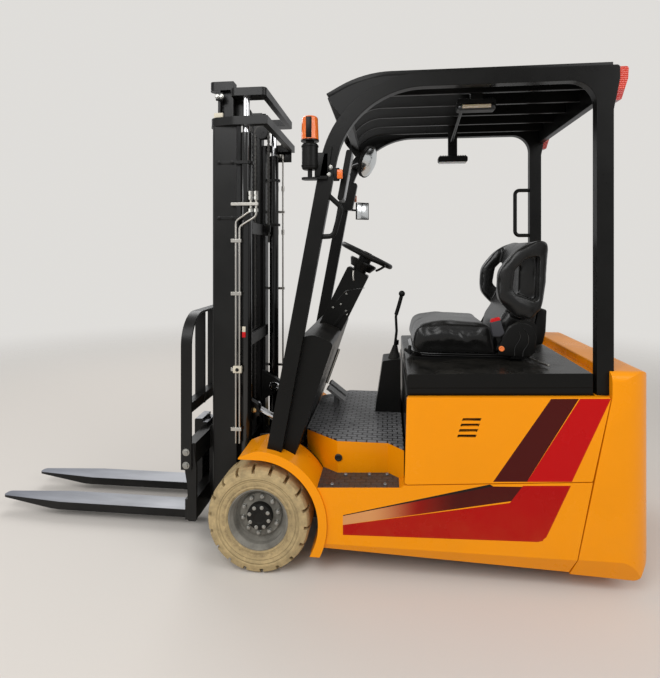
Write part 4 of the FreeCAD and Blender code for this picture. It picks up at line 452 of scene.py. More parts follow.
def ring_height(tree, rings):
    """Low moulded rings round the front wheels' axis: (radius, half width, height) in millimetres."""
    place = add_node(tree, "ShaderNodeTexCoord").outputs["Object"]
    centred = add_node(
        tree, "ShaderNodeVectorMath", {0: place}, operation="SUBTRACT", sockets={1: tuple(at(0, 0, 226))},
    )
    flat = add_node(
        tree, "ShaderNodeVectorMath", {0: centred.outputs[0]}, operation="MULTIPLY", sockets={1: (1, 0, 1)},
    )
    radius = add_node(tree, "ShaderNodeVectorMath", {0: flat.outputs[0]}, operation="LENGTH").outputs["Value"]
    total = None
    for middle, half, height in rings:
        away = add_node(tree, "ShaderNodeMath", {0: radius}, operation="SUBTRACT", sockets={1: middle * MM})
        far = add_node(tree, "ShaderNodeMath", {0: away.outputs[0]}, operation="ABSOLUTE")
        ring = add_node(
            tree, "ShaderNodeMapRange", {"Value": far.outputs[0]}, interpolation_type="SMOOTHSTEP",
            sockets={"From Min": 0.0, "From Max": half * MM, "To Min": height, "To Max": 0.0},
        )
        if total is None:
            total = ring.outputs[0]
        else:
            total = add_node(tree, "ShaderNodeMath", {0: total, 1: ring.outputs[0]}, operation="ADD").outputs[0]
    return total, radius


def tyre_base(tree):
    """Beige rubber, scuffed darker in a ring on the sidewall and by the rim."""
    marks, radius = ring_height(tree, ((152, 13, 1.0), (136, 8, 0.7), (207, 26, 0.5)))
    place = add_node(tree, "ShaderNodeTexCoord").outputs["Object"]
    blots = add_node(
        tree, "ShaderNodeTexNoise", {"Vector": place}, sockets={"Scale": 60.0, "Detail": 9.0, "Roughness": 0.75},
    )
    spread = add_node(
        tree, "ShaderNodeMapRange", {"Value": blots.outputs["Fac"]},
        sockets={"From Min": 0.42, "From Max": 0.66, "To Min": 0.0, "To Max": 0.85},
    )
    scuffed = add_node(tree, "ShaderNodeMath", {0: marks, 1: spread.outputs[0]}, operation="MULTIPLY")
    return mix_colour(tree, scuffed.outputs[0], CREAM, (0.16, 0.115, 0.06, 1))


def fork_base_with_painted_sheen(tree):
    """Black paint with a painted pale sheen standing in for reflected light on the upward tops, in streaks where loads
    slide, dimmer towards the tips.
    """
    shape = add_node(tree, "ShaderNodeNewGeometry")
    parts = add_node(tree, "ShaderNodeSeparateXYZ", {0: shape.outputs["True Normal"]})
    top = add_node(
        tree, "ShaderNodeMapRange", {"Value": parts.outputs["Z"]},
        sockets={"From Min": 0.8, "From Max": 0.95, "To Min": 0.0, "To Max": 1.0},
    )
    place = add_node(tree, "ShaderNodeTexCoord")
    long = add_node(tree, "ShaderNodeVectorMath", {0: place.outputs["Object"]}, operation="MULTIPLY",
                    sockets={1: (0.25, 1.0, 1.0)})
    rubs = add_node(
        tree, "ShaderNodeTexNoise", {"Vector": long.outputs[0]},
        sockets={"Scale": 7.0, "Detail": 5.0, "Roughness": 0.55},
    )
    spread = add_node(
        tree, "ShaderNodeMapRange", {"Value": rubs.outputs["Fac"]},
        sockets={"From Min": 0.3, "From Max": 0.62, "To Min": 0.55, "To Max": 1.0},
    )
    rubbed_and_sheen = add_node(tree, "ShaderNodeMath", {0: top.outputs[0], 1: spread.outputs[0]}, operation="MULTIPLY")
    along = add_node(tree, "ShaderNodeSeparateXYZ", {0: place.outputs["Object"]})
    ahead = add_node(
        tree, "ShaderNodeMapRange", {"Value": along.outputs["X"]},
        sockets={"From Min": at(600, 0, 0).x, "From Max": at(1450, 0, 0).x},
    )
    sheen = mix_colour(tree, ahead.outputs[0], FORK_TOP_PAINTED_SHEEN, FORK_TIP_PAINTED_SHEEN)
    return mix_colour(tree, rubbed_and_sheen.outputs[0], FORK_BLACK, sheen)


def mat_base_with_painted_sheen(tree):
    """Black rubber with a painted pale sheen on the raised blocks, standing in for reflected light, strong on the deck
    and faint on the steps.
    """
    place = add_node(tree, "ShaderNodeTexCoord")
    parts = add_node(tree, "ShaderNodeSeparateXYZ", {0: place.outputs["Object"]})
    deck = add_node(
        tree, "ShaderNodeMapRange", {"Value": parts.outputs["Z"]},
        sockets={"From Min": 0.42, "From Max": 0.45, "To Min": 0.08, "To Max": 1.0},
    )
    sheen = add_node(tree, "ShaderNodeMath", {0: stud_height(tree), 1: deck.outputs[0]}, operation="MULTIPLY")
    return mix_colour(tree, sheen.outputs[0], MAT_BLACK, MAT_PAINTED_SHEEN)


def roof_material():
    """The roof cover: black sheet, with a clear panel between the bars ahead of the lamps."""
    material, tree, shader = start_material("roof_sheet")
    place = add_node(tree, "ShaderNodeTexCoord").outputs["Object"]
    parts = add_node(tree, "ShaderNodeSeparateXYZ", {0: place})
    ahead = add_node(
        tree, "ShaderNodeMath", {0: parts.outputs["X"]}, operation="GREATER_THAN",
        sockets={1: at(WINDOW_REAR_X, 0, 0).x},
    )
    aside = add_node(tree, "ShaderNodeMath", {0: parts.outputs["Y"]}, operation="ABSOLUTE")
    within = add_node(tree, "ShaderNodeMath", {0: aside.outputs[0]}, operation="LESS_THAN", sockets={1: 0.445})
    lean = math.radians(52.5)
    reach = add_node(
        tree, "ShaderNodeVectorMath", {0: place}, operation="DOT_PRODUCT",
        sockets={1: (math.cos(lean), 0, -math.sin(lean))},
    )
    bars_end = at(-529.7, 0, 1911).dot(Vector((math.cos(lean), 0, -math.sin(lean))))
    behind = add_node(
        tree, "ShaderNodeMath", {0: reach.outputs["Value"]}, operation="LESS_THAN", sockets={1: bars_end},
    )
    both = add_node(tree, "ShaderNodeMath", {0: ahead.outputs[0], 1: within.outputs[0]}, operation="MULTIPLY")
    window = add_node(tree, "ShaderNodeMath", {0: both.outputs[0], 1: behind.outputs[0]}, operation="MULTIPLY")
    film = use_group(tree, DUST_FILM, Amount=0.3, Floor_Height=0.1)
    tint = mix_colour(tree, window.outputs[0], SATIN_BLACK, (0.45, 0.46, 0.47, 1))
    dusty = mix_colour(tree, film.outputs["Mask"], tint, (0.12, 0.115, 0.11, 1))
    tree.links.new(dusty, shader.inputs["Base Color"])
    thin = add_node(
        tree, "ShaderNodeMapRange", {"Value": window.outputs[0]}, sockets={"To Min": 1.0, "To Max": 0.1},
    )
    tree.links.new(thin.outputs[0], shader.inputs["Alpha"])
    rough = add_node(
        tree, "ShaderNodeMapRange", {"Value": window.outputs[0]}, sockets={"To Min": 0.42, "To Max": 0.12},
    )
    tree.links.new(rough.outputs[0], shader.inputs["Roughness"])
    shader.inputs["Specular IOR Level"].default_value = 0.2
    return material


def line_height(tree, lines):
    """Grooves along planes: each is (direction, distance in metres, half width in millimetres)."""
    place = add_node(tree, "ShaderNodeTexCoord").outputs["Object"]
    total = None
    for direction, distance, half in lines:
        reach = add_node(
            tree, "ShaderNodeVectorMath", {0: place}, operation="DOT_PRODUCT", sockets={1: direction},
        )
        away = add_node(
            tree, "ShaderNodeMath", {0: reach.outputs["Value"]}, operation="SUBTRACT", sockets={1: distance},
        )
        far = add_node(tree, "ShaderNodeMath", {0: away.outputs[0]}, operation="ABSOLUTE")
        line = add_node(
            tree, "ShaderNodeMapRange", {"Value": far.outputs[0]}, interpolation_type="SMOOTHSTEP",
            sockets={"From Min": half * MM * 0.4, "From Max": half * MM, "To Min": -1.0, "To Max": 0.0},
        )
        if total is None:
            total = line.outputs[0]
        else:
            total = add_node(tree, "ShaderNodeMath", {0: total, 1: line.outputs[0]}, operation="MINIMUM").outputs[0]
    return total


def stud_height(tree):
    """The floor mat's raised blocks, laid like bricks."""
    place = add_node(tree, "ShaderNodeTexCoord").outputs["Object"]
    bricks = add_node(
        tree, "ShaderNodeTexBrick", {"Vector": place}, offset=0.5,
        sockets={
            "Scale": 1.0, "Mortar Size": 0.0035, "Mortar Smooth": 0.35, "Brick Width": 0.046, "Row Height": 0.028,
            "Color1": (1, 1, 1, 1), "Color2": (0.8, 0.8, 0.8, 1), "Mortar": (0, 0, 0, 1),
        },
    )
    return bricks.outputs["Color"]


def paint_cad(material, names):
    for name in names:
        node = nodes[name]
        node.data.materials.clear()
        node.data.materials.append(material)


# Finishes
orange_dust = (0.50, 0.27, 0.06, 1)
orange_paint = finish_material(
    "orange_paint", ORANGE, roughness=0.26, coat=0.05, fine=260.0, bump=0.03, dust=0.12, floor_height=0.42,
    dust_colour=orange_dust, mottle=0.03, rough_spread=0.08, specular=0.15,
)
striped_paint = finish_material(
    "striped_paint", ORANGE, roughness=0.26, coat=0.05, fine=260.0, bump=0.03, dust=0.12, floor_height=0.42,
    dust_colour=orange_dust, mottle=0.03, rough_spread=0.08, specular=0.15, base=striped_base,
)
# Satin black: its paler edges are partly wear and partly a painted highlight along the rounded edges
satin_black = finish_material(
    "satin_black_paint", SATIN_BLACK, roughness=0.3, fine=700.0, bump=0.12, dust=0.06, wear=0.2,
    edge_wear_and_highlight=(0.05, 0.048, 0.045, 1), mottle=0.25, floor_height=0.5, radius=0.004,
)
mast_black = finish_material(
    "mast_black_paint", SATIN_BLACK, roughness=0.34, fine=420.0, bump=0.2, dust=0.15, wear=0.3,
    edge_wear_and_highlight=(0.07, 0.066, 0.06, 1), mottle=0.35, floor_height=0.9, dust_colour=(0.06, 0.055, 0.05, 1), specular=0.25,
)
glossy_black = finish_material(
    "glossy_black_paint", SATIN_BLACK, roughness=0.14, coat=0.8, fine=420.0, bump=0.05, dust=0.08, mottle=0.2,
    floor_height=0.9, dust_colour=(0.10, 0.09, 0.08, 1),
)
# The forks' pale upward tops are a painted sheen standing in for reflected light
fork_black = finish_material(
    "fork_black_paint", FORK_BLACK, roughness=0.3, fine=120.0, slow=5.0, stretch=(0.12, 1.0, 1.0), bump=0.12,
    dust=0.03, wear=0.5, edge_wear_and_highlight=(0.30, 0.30, 0.30, 1), mottle=0.15, specular=0.2, base=fork_base_with_painted_sheen,
)
wheel_grey = finish_material(
    "wheel_grey_paint", WHEEL_GREY, roughness=0.4, fine=240.0, slow=16.0, bump=0.12, dust=0.4, floor_height=0.6,
    dust_colour=(0.075, 0.066, 0.05, 1), mottle=0.35, wear=0.4, edge_wear_and_highlight=(0.35, 0.34, 0.32, 1),
)
cast_iron = finish_material(
    "cast_iron", CAST_BLACK, roughness=0.62, fine=180.0, bump=0.5, depth=0.0008, dust=0.4, mottle=0.3,
    floor_height=0.6,
)
cream_rubber = finish_material(
    "cream_rubber", CREAM, roughness=0.72, fine=210.0, slow=26.0, bump=0.35, depth=0.0007, dust=0.35,
    dust_colour=(0.22, 0.17, 0.10, 1), floor_height=0.6, mottle=0.25, radius=0.004, wear=0.35,
    edge_wear_and_highlight=(0.22, 0.18, 0.12, 1), specular=0.3, base=tyre_base,
    relief=lambda tree: ring_height(tree, ((181, 4, 1.0), (169, 3, -0.7), (140, 4, 0.7), (148, 3, -0.4)))[0],
    relief_depth=0.0035,
)
black_rubber = finish_material(
    "black_rubber", TYRE_BLACK, roughness=0.8, fine=300.0, bump=0.3, dust=0.5, mottle=0.3, floor_height=0.4,
)
# The mat's pale raised blocks are a painted sheen standing in for reflected light
mat_rubber = finish_material(
    "mat_rubber", MAT_BLACK, roughness=0.3, fine=520.0, bump=0.2, dust=0.3, specular=0.4, mottle=0.3, floor_height=0.1,
    dust_colour=(0.16, 0.155, 0.15, 1), relief=stud_height, relief_depth=0.0035, base=mat_base_with_painted_sheen,
)
grained_plastic = finish_material(
    "grained_plastic", PLASTIC_BLACK, roughness=0.36, fine=900.0, bump=0.45, depth=0.0003, dust=0.06, mottle=0.15,
    floor_height=0.2,
)
hood_plastic = finish_material(
    "hood_plastic", PLASTIC_BLACK, roughness=0.2, fine=900.0, bump=0.15, depth=0.0003, dust=0.08, mottle=0.15,
    floor_height=0.2, relief=lambda tree: line_height(tree, (((0.0323, 0, 1), 0.7907, 2.2),)),
    relief_depth=0.003,
)
vinyl = finish_material(
    "seat_vinyl", VINYL_BLACK, roughness=0.3, fine=620.0, bump=0.3, depth=0.0004, dust=0.03, mottle=0.2,
    sheen=0.05, floor_height=0.1, specular=0.35,
)
chrome = finish_material(
    "chromed_rod", (0.72, 0.72, 0.73, 1), roughness=0.1, metallic=1.0, fine=60.0, bump=0.02, dust=0.03,
    rough_spread=0.06, mottle=0.04,
)
pipe_steel = finish_material(
    "pipe_steel", (0.50, 0.48, 0.44, 1), roughness=0.3, metallic=1.0, fine=300.0, bump=0.08, dust=0.06,
    mottle=0.1,
)
bolt_steel = finish_material(
    "zinc_bolts", BOLT_GREY, roughness=0.32, metallic=1.0, fine=500.0, bump=0.1, dust=0.1, mottle=0.15,
    radius=0.0006,
)
brass = finish_material(
    "yellow_zinc", BRASS, roughness=0.3, metallic=1.0, fine=500.0, bump=0.1, dust=0.1, mottle=0.15, radius=0.0006,
)
beige_plastic = finish_material(
    "beige_plastic", BEIGE, roughness=0.5, fine=700.0, bump=0.2, dust=0.25, mottle=0.1, radius=0.001,
)
pedal_steel = finish_material(
    "pedal_steel", (0.20, 0.20, 0.20, 1), roughness=0.42, metallic=0.5, fine=320.0, bump=0.25, dust=0.15,
    mottle=0.3, wear=0.6, edge_wear_and_highlight=(0.42, 0.41, 0.40, 1), relief=lambda tree: line_height(tree, tuple(
        ((0.66, 0, 0.75), at(-232 - 16 * step, 0, 0).x * 0.66 + (649 - 11 * step) * MM * 0.75, 2.5)
        for step in range(7)
    )), relief_depth=0.002,
)
chain_steel = finish_material(
    "oiled_chain", (0.05, 0.048, 0.045, 1), roughness=0.38, metallic=0.7, fine=300.0, bump=0.3, dust=0.1,
    wear=0.7, edge_wear_and_highlight=(0.2, 0.19, 0.175, 1), mottle=0.3, radius=0.0012,
)
battery_case = finish_material(
    "battery_case", (0.02, 0.021, 0.024, 1), roughness=0.55, fine=400.0, bump=0.2, dust=0.3, mottle=0.2,
)
buckle_grey = finish_material(
    "buckle_grey", (0.045, 0.045, 0.05, 1), roughness=0.45, fine=900.0, bump=0.2, dust=0.05, radius=0.001,
)
red_button = finish_material("red_button", BUTTON_RED, roughness=0.35, bump=0.1, dust=0.05, radius=0.001)
orange_knob = finish_material("orange_knob", KNOB_ORANGE, roughness=0.35, bump=0.1, dust=0.05, radius=0.001)
amber_lens = lens_material("amber_lens", AMBER, 60.0, "X")
red_lens = lens_material("red_lens", LENS_RED, 40.0, "Z", lower=(0.36, 0.012, 0.004, 1), split=2.04)
clear_lens = lens_material("clear_lens", LENS_CLEAR, 80.0, "X")
warm_lens = lens_material("warm_lens", LENS_WARM, 80.0, "X")
mirror_glass = mirror_material()
barrel_black = finish_material(
    "barrel_black_paint", (0.02, 0.02, 0.021, 1), roughness=0.16, coat=1.0, fine=300.0, bump=0.03, dust=0.05,
    mottle=0.1, floor_height=0.9, specular=0.8,
)
# The flat mirror's glass is painted nearly black, a painted dark reflection
painted_dark_mirror = finish_material(
    "mirror_painted_dark", (0.05, 0.05, 0.055, 1), roughness=0.08, metallic=1.0, fine=200.0, bump=0.01, dust=0.1,
    floor_height=3.0,
)

paint_cad(orange_paint, ["fenders", "counterweight", "floor_tray"])
paint_cad(striped_paint, ["sills", "side_panels"])
paint_cad(satin_black, ["guard_frame", "roof_bars", "chassis_frame"])
paint_cad(roof_material(), ["roof_cover"])
paint_cad(barrel_black, ["lift_barrels"])
paint_cad(mast_black, ["outer_mast", "inner_mast", "carriage", "backrest", "tilt_barrels"])
paint_cad(glossy_black, ["lift_barrels"])
paint_cad(fork_black, ["forks"])
paint_cad(wheel_grey, ["front_rim_left", "front_rim_right", "rear_rims"])
paint_cad(cast_iron, ["drive_axle", "steer_carrier"])
paint_cad(cream_rubber, ["front_tyre_left", "front_tyre_right"])
paint_cad(black_rubber, ["rear_tyres"])
paint_cad(mat_rubber, ["floor_mats"])
paint_cad(pedal_steel, ["pedals"])
paint_cad(hood_plastic, ["hood"])
paint_cad(grained_plastic, [
    "cowl", "steering_column", "steering_wheel", "lever_console", "levers", "seat_base", "work_lights", "beacon",
    "mirrors",
])
paint_cad(vinyl, ["seat_cushion", "seat_back"])
paint_cad(chrome, ["lift_rods", "tilt_rods"])
paint_cad(pipe_steel, ["mast_pipes"])
paint_cad(chain_steel, ["lift_chains"])
paint_cad(battery_case, ["battery"])
paint_cad(amber_lens, ["beacon_lens"])
paint_cad(red_lens, ["tail_lamps"])


# Modelling helpers
def only(piece):
    """Leave this piece alone selected and active."""
    bpy.ops.object.select_all(action="DESELECT")
    piece.select_set(True)
    bpy.context.view_layer.objects.active = piece


def choose(piece, test):
    """Open a piece in edit mode, with the faces selected whose middle and normal pass the test."""
    only(piece)
    bpy.ops.object.mode_set(mode="EDIT")
    bpy.ops.mesh.select_mode(type="FACE")
    bpy.ops.mesh.select_all(action="DESELECT")
    bpy.ops.object.mode_set(mode="OBJECT")
    for face in piece.data.polygons:
        face.select = test(face.center, face.normal)
    bpy.ops.object.mode_set(mode="EDIT")


def close_edit():
    bpy.ops.object.mode_set(mode="OBJECT")


def apply_modifier(piece, kind, **values):
    only(piece)
    modifier = piece.modifiers.new(kind.lower(), kind)
    for name, value in values.items():
        setattr(modifier, name, value)
    bpy.ops.object.modifier_apply(modifier=modifier.name)


def add_drum(radius, low, high, sides=24, top=None):
    """An upright drum in millimetres, straight or tapered, round the origin."""
    bpy.ops.object.select_all(action="DESELECT")
    place = (0, 0, (low + high) / 2 * MM)
    depth = (high - low) * MM
    if top is None:
        bpy.ops.mesh.primitive_cylinder_add(vertices=sides, radius=radius * MM, depth=depth, location=place)
    else:
        bpy.ops.mesh.primitive_cone_add(
            vertices=sides, radius1=radius * MM, radius2=top * MM, depth=depth, location=place,
        )
    return bpy.context.object


def step_top(piece, inset, rise):
    """Inset the topmost face and raise or sink what it encloses, in millimetres."""
    highest = max(face.center.z for face in piece.data.polygons)
    choose(piece, lambda middle, normal: normal.z > 0.99 and middle.z > highest - 1e-5)
    bpy.ops.mesh.inset(thickness=inset * MM)
    bpy.ops.transform.translate(value=(0, 0, rise * MM))
    close_edit()


def sink_top(piece, inset, depth):
    """A recess with straight walls in the topmost face, in millimetres."""
    highest = max(face.center.z for face in piece.data.polygons)
    choose(piece, lambda middle, normal: normal.z > 0.99 and middle.z > highest - 1e-5)
    bpy.ops.mesh.inset(thickness=inset * MM)
    bpy.ops.mesh.extrude_region_move(TRANSFORM_OT_translate={"value": (0, 0, -depth * MM)})
    close_edit()


def join(pieces):
    only(pieces[0])
    for piece in pieces[1:]:
        piece.select_set(True)
    if len(pieces) > 1:
        bpy.ops.object.join()
    bpy.ops.object.transform_apply(location=True, rotation=True, scale=True)
    return bpy.context.object


def facing(direction, spin=0.0):
    """A turn that takes an upright piece to face a direction, spun about it by some degrees."""
    turn = Vector(direction).to_track_quat("Z", "Y").to_matrix().to_4x4()
    return turn @ Matrix.Rotation(math.radians(spin), 4, "Z")


def set_out(master, places):
    """Copies of an upright piece at each (x, y, z, direction, spin), joined. The piece itself goes."""
    only(master)
    bpy.ops.object.transform_apply(location=True, rotation=True, scale=True)
    copies = []
    for x, y, z, direction, spin in places:
        copy = master.copy()
        copy.data = master.data.copy()
        bpy.context.collection.objects.link(copy)
        copy.matrix_world = Matrix.Translation(at(x, y, z)) @ facing(direction, spin)
        copies.append(copy)
    bpy.context.view_layer.update()
    joined = join(copies)
    bpy.data.objects.remove(master)
    return joined


def finish_piece(piece, name, body, material, smooth=32.0):
    """Name a piece, settle its place into its mesh, smooth it, and put it on its body."""
    only(piece)
    bpy.ops.object.transform_apply(location=True, rotation=True, scale=True)
    bpy.ops.object.shade_smooth_by_angle(angle=math.radians(smooth))
    piece.name = name
    piece.data.name = name
    piece.data.materials.clear()
    piece.data.materials.append(material)
    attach(piece, body)
    return piece


def plate(corners, low, high, rounding=0.0, flat=False):
    """A plate from its outline in millimetres: (x, z) between two distances y, or flat, (x, y) between heights."""
    bpy.ops.object.select_all(action="DESELECT")
    bpy.ops.mesh.primitive_circle_add(vertices=len(corners), fill_type="NGON")
    made = bpy.context.object
    for vertex, (x, other) in zip(made.data.vertices, corners):
        vertex.co = at(x, other, low) if flat else at(x, low, other)
    thickness = (high - low) * MM
    way = (0, 0, thickness) if flat else (0, thickness, 0)
    bpy.ops.object.mode_set(mode="EDIT")
    bpy.ops.mesh.select_all(action="SELECT")
    bpy.ops.mesh.extrude_region_move(TRANSFORM_OT_translate={"value": way})
    bpy.ops.mesh.select_all(action="SELECT")
    bpy.ops.mesh.normals_make_consistent(inside=False)
    close_edit()
    if rounding:
        apply_modifier(made, "BEVEL", width=rounding * MM, segments=3, limit_method="ANGLE")
    return made


def block(x0, x1, y0, y1, z0, z1, rounding=1.0):
    """A block between limits in millimetres, its edges rounded."""
    return plate(((x0, z0), (x1, z0), (x1, z1), (x0, z1)), y0, y1, rounding)


def loose_block(length, width, height, rounding=1.0):
    """A block standing on the origin, for copies to be set out."""
    bpy.ops.object.select_all(action="DESELECT")
    bpy.ops.mesh.primitive_cube_add(size=MM, location=(0, 0, height / 2 * MM), scale=(length, width, height))
    made = bpy.context.object
    bpy.ops.object.transform_apply(location=True, rotation=True, scale=True)
    apply_modifier(made, "BEVEL", width=rounding * MM, segments=2, limit_method="ANGLE")
    return made


def mirrored(piece):
    """A piece joined with its copy on the other side."""
    other = piece.copy()
    other.data = piece.data.copy()
    bpy.context.collection.objects.link(other)
    only(other)
    bpy.ops.transform.mirror(constraint_axis=(False, True, False), center_override=(0, 0, 0))
    bpy.ops.object.transform_apply(location=True, rotation=True, scale=True)
    bpy.ops.object.mode_set(mode="EDIT")
    bpy.ops.mesh.select_all(action="SELECT")
    bpy.ops.mesh.normals_make_consistent(inside=False)
    close_edit()
    return join([piece, other])


def bent_tube(points, radius, sides=3, order=3):
    """A smooth tube along points in millimetres, its ends closed."""
    bpy.ops.object.select_all(action="DESELECT")
    bpy.ops.curve.primitive_nurbs_path_add(location=(0, 0, 0))
    path = bpy.context.object
    path.data.splines.clear()
    spline = path.data.splines.new("NURBS")
    spline.points.add(len(points) - 1)
    for point, place in zip(spline.points, points):
        point.co = (*at(*place), 1)
    spline.order_u = order
    spline.use_endpoint_u = True
    spline.resolution_u = 8
    path.data.bevel_depth = radius * MM
    path.data.bevel_resolution = sides
    path.data.use_fill_caps = True
    only(path)
    bpy.ops.object.convert(target="MESH")
    made = bpy.context.object
    bpy.ops.object.mode_set(mode="EDIT")
    bpy.ops.mesh.select_all(action="SELECT")
    bpy.ops.mesh.remove_doubles(threshold=0.00001)
    bpy.ops.mesh.normals_make_consistent(inside=False)
    close_edit()
    return made


def hex_bolt(radius, height):
    """A hexagon head with a chamfered crown, on a washer."""
    washer = height * 0.22
    head = add_drum(radius, washer, height, sides=6)
    step_top(head, radius * 0.16, height * 0.1)
    ring = add_drum(radius * 1.4, 0, washer, sides=20)
    step_top(ring, radius * 0.08, washer * 0.15)
    return join([head, ring])


def button_screw(radius, height):
    """A round head with a socket in its crown."""
    head = add_drum(radius, 0, height * 0.55, sides=18)
    step_top(head, radius * 0.16, height * 0.3)
    step_top(head, radius * 0.2, height * 0.15)
    sink_top(head, radius * 0.22, height * 0.5)
    return head


def wheel_nut(radius, height):
    """A nut on its cone seat, with the stud's end standing out of it."""
    seat = add_drum(radius * 1.3, 0, height * 0.3, sides=20, top=radius * 1.05)
    nut = add_drum(radius, height * 0.3, height, sides=6)
    step_top(nut, radius * 0.16, height * 0.08)
    stud = add_drum(radius * 0.52, height * 0.9, height * 1.45, sides=14)
    step_top(stud, radius * 0.1, height * 0.05)
    return join([seat, nut, stud])


def fasten(name, body, master, places, material):
    """A set of like fasteners as one piece, each at (x, y, z, direction, spin)."""
    return finish_piece(set_out(master, places), name, body, material)


def both_sides(rows):
    """The same places on the left and on the right."""
    return [
        (x, side * y, z, (way[0], side * way[1], way[2]), spin)
        for x, y, z, way, spin in rows for side in (1, -1)
    ]


def circle_of(count, radius, first, y, height=226.0, x=0.0):
    """Places round a wheel's axle, facing outwards: count, radius, first angle in degrees."""
    rows = []
    for index in range(count):
        turn = math.radians(first + 360 * index / count)
        rows.append((
            x - radius * math.cos(turn), y, height + radius * math.sin(turn), (0, math.copysign(1, y), 0), 20 * index,
        ))
    return rows


BEACON_X = -224.9
LEFT = (0, 1, 0)
RIGHT = (0, -1, 0)
UP = (0, 0, 1)
AHEAD = (1, 0, 0)
BACK = (-1, 0, 0)

# Wheels
for side, body in ((1, "left_wheel"), (-1, "right_wheel")):
    word = body.split("_")[0]
    out = (0, side, 0)
    cover = add_drum(57, 0, 24, sides=64)
    step_top(cover, 2, 4)
    step_top(cover, 7, 3)
    step_top(cover, 3, 0.5)
    sink_top(cover, 20, 2)
    fasten("hub_cover_" + word, body, cover, [(0, side * 471, 226, out, 0)], satin_black)
    fasten(
        "hub_bolts_" + word, body, hex_bolt(6, 6), circle_of(8, 44.5, 29, side * 502), bolt_steel,
    )
    fasten(
        "wheel_nuts_" + word, body, wheel_nut(9.5, 11), circle_of(10, 80.5, 12, side * 471), bolt_steel,
    )
rear_nuts = wheel_nut(8, 10)
fasten("rear_wheel_nuts", "rear_axle", rear_nuts, [
    row for side in (1, -1) for row in circle_of(5, 66, 18, side * 92, height=190, x=-1340)
], bolt_steel)

# Fasteners in plain sight: sets of like heads as (x, y, z, the way each faces, spin)
fasten("guard_leg_bolts", "chassis", hex_bolt(7, 7), both_sides([
    (-314, 500, 1748, LEFT, 10), (-306, 500, 1717, LEFT, 40),
]), bolt_steel)
fasten("tread_screws", "chassis", button_screw(8, 6), both_sides([
    (x, y, z, (0.0, 0.145, 0.99), 0) for x, y, z in (
        (-372, 402, 389), (-478, 402, 394.5), (-556, 402, 398.5), (-321, 497, 385.5), (-547, 497, 397.5),
    )
]), pedal_steel)
plug = add_drum(17, 0, 4, sides=32)
step_top(plug, 3, 3)
sink_top(plug, 5, 2)
fasten("sill_plugs", "chassis", plug, both_sides([(-338, 393, 460, (0.0, 0.99, -0.145), 0)]), black_rubber)
fasten("column_bolts", "chassis", button_screw(6, 5), both_sides([
    (x, 55, z, LEFT, 0) for x, z in ((-346, 1169), (-317, 1114), (-277, 1097), (-344, 1080), (-348, 1062))
]), bolt_steel)
fasten("backrest_bolts", "fork_carriage", hex_bolt(12, 10), both_sides([
    (359, 435, 408, LEFT, 0), (359, 435, 468, LEFT, 25),
]), bolt_steel)
fasten("strap_bolts", "mast", hex_bolt(7, 6), both_sides([
    (x, 327, z + 7, LEFT, 15) for z in (1540, 1804) for x in (176, 240)
]), mast_black)
fasten("head_tie_bolts", "mast", hex_bolt(9, 8), both_sides([
    (70, 318, 2025, UP, 0), (18, 332, 2025, UP, 10), (248, 292, 2025, UP, 20),
]), mast_black)
fasten("cap_bolts", "mast_stage", hex_bolt(9, 8), both_sides([
    (200, 262, 2196, UP, 0), (262, 262, 2196, UP, 15),
]), mast_black)
fasten("tilt_pin_bolts", "mast", hex_bolt(10, 9), both_sides([(92, 253, 612, LEFT, 0)]), brass)
keeper = block(60, 100, 253, 258, 586, 604, 2)
other = block(60, 100, -258, -253, 586, 604, 2)
finish_piece(join([keeper, other]), "tilt_pin_keepers", "mast", mast_black)

# Lamps: cooling fins along the housings, a bezel, and pale strips behind their glass
for word, x, y, top in (("left", -950, 332, 2065), ("right", -937, -368, 1946)):
    finish_piece(
        set_out(loose_block(4, 42, 7), [(x - 72 + 9.6 * step, y, top - 2, UP, 0) for step in range(16)]),
        "lamp_fins_" + word, "chassis", grained_plastic,
    )
finish_piece(
    block(-1030, -870, 353, 358.5, 2016, 2045, 2.5), "lamp_bezel_left", "chassis", glossy_black,
)
finish_piece(
    block(-1012, -888, 356, 360, 2023, 2039, 1.5), "lamp_glass_left", "chassis", warm_lens,
)
finish_piece(
    block(-1015, -859, -392, -344, 1906.5, 1917, 4), "lamp_glass_right", "chassis", clear_lens,
)
finish_piece(mirrored(block(-366, -342, 484, 505, 1698, 1738, 4)), "side_beads", "chassis", amber_lens)
finish_piece(
    mirrored(block(-352, -326, 482, 500, 1690, 1746, 4)), "side_bead_housings", "chassis", grained_plastic,
)

# Beacon: collars on its body, and the dark shutters before and behind its bulb
collar = add_drum(37.5, 0, 6, sides=48)
step_top(collar, 2, 1)
fasten("beacon_collars", "chassis", collar, [
    (BEACON_X, 500, z, UP, 0) for z in (1752, 1836)
], grained_plastic)
shutter = loose_block(24, 6, 90, 2)
fasten("beacon_shutters", "chassis", shutter, [
    (BEACON_X, 500 + side * 36.5, 1870, UP, 0) for side in (1, -1)
], grained_plastic)

finish_piece(
    block(BEACON_X - 82, BEACON_X - 20, 494, 506, 1706, 1812, 5), "beacon_plate", "chassis", satin_black,
)


# Mirror glasses
def leg_front(z):
    """The front edge of the guard's front legs at a height."""
    return -31 - (z - 506) * 0.18895


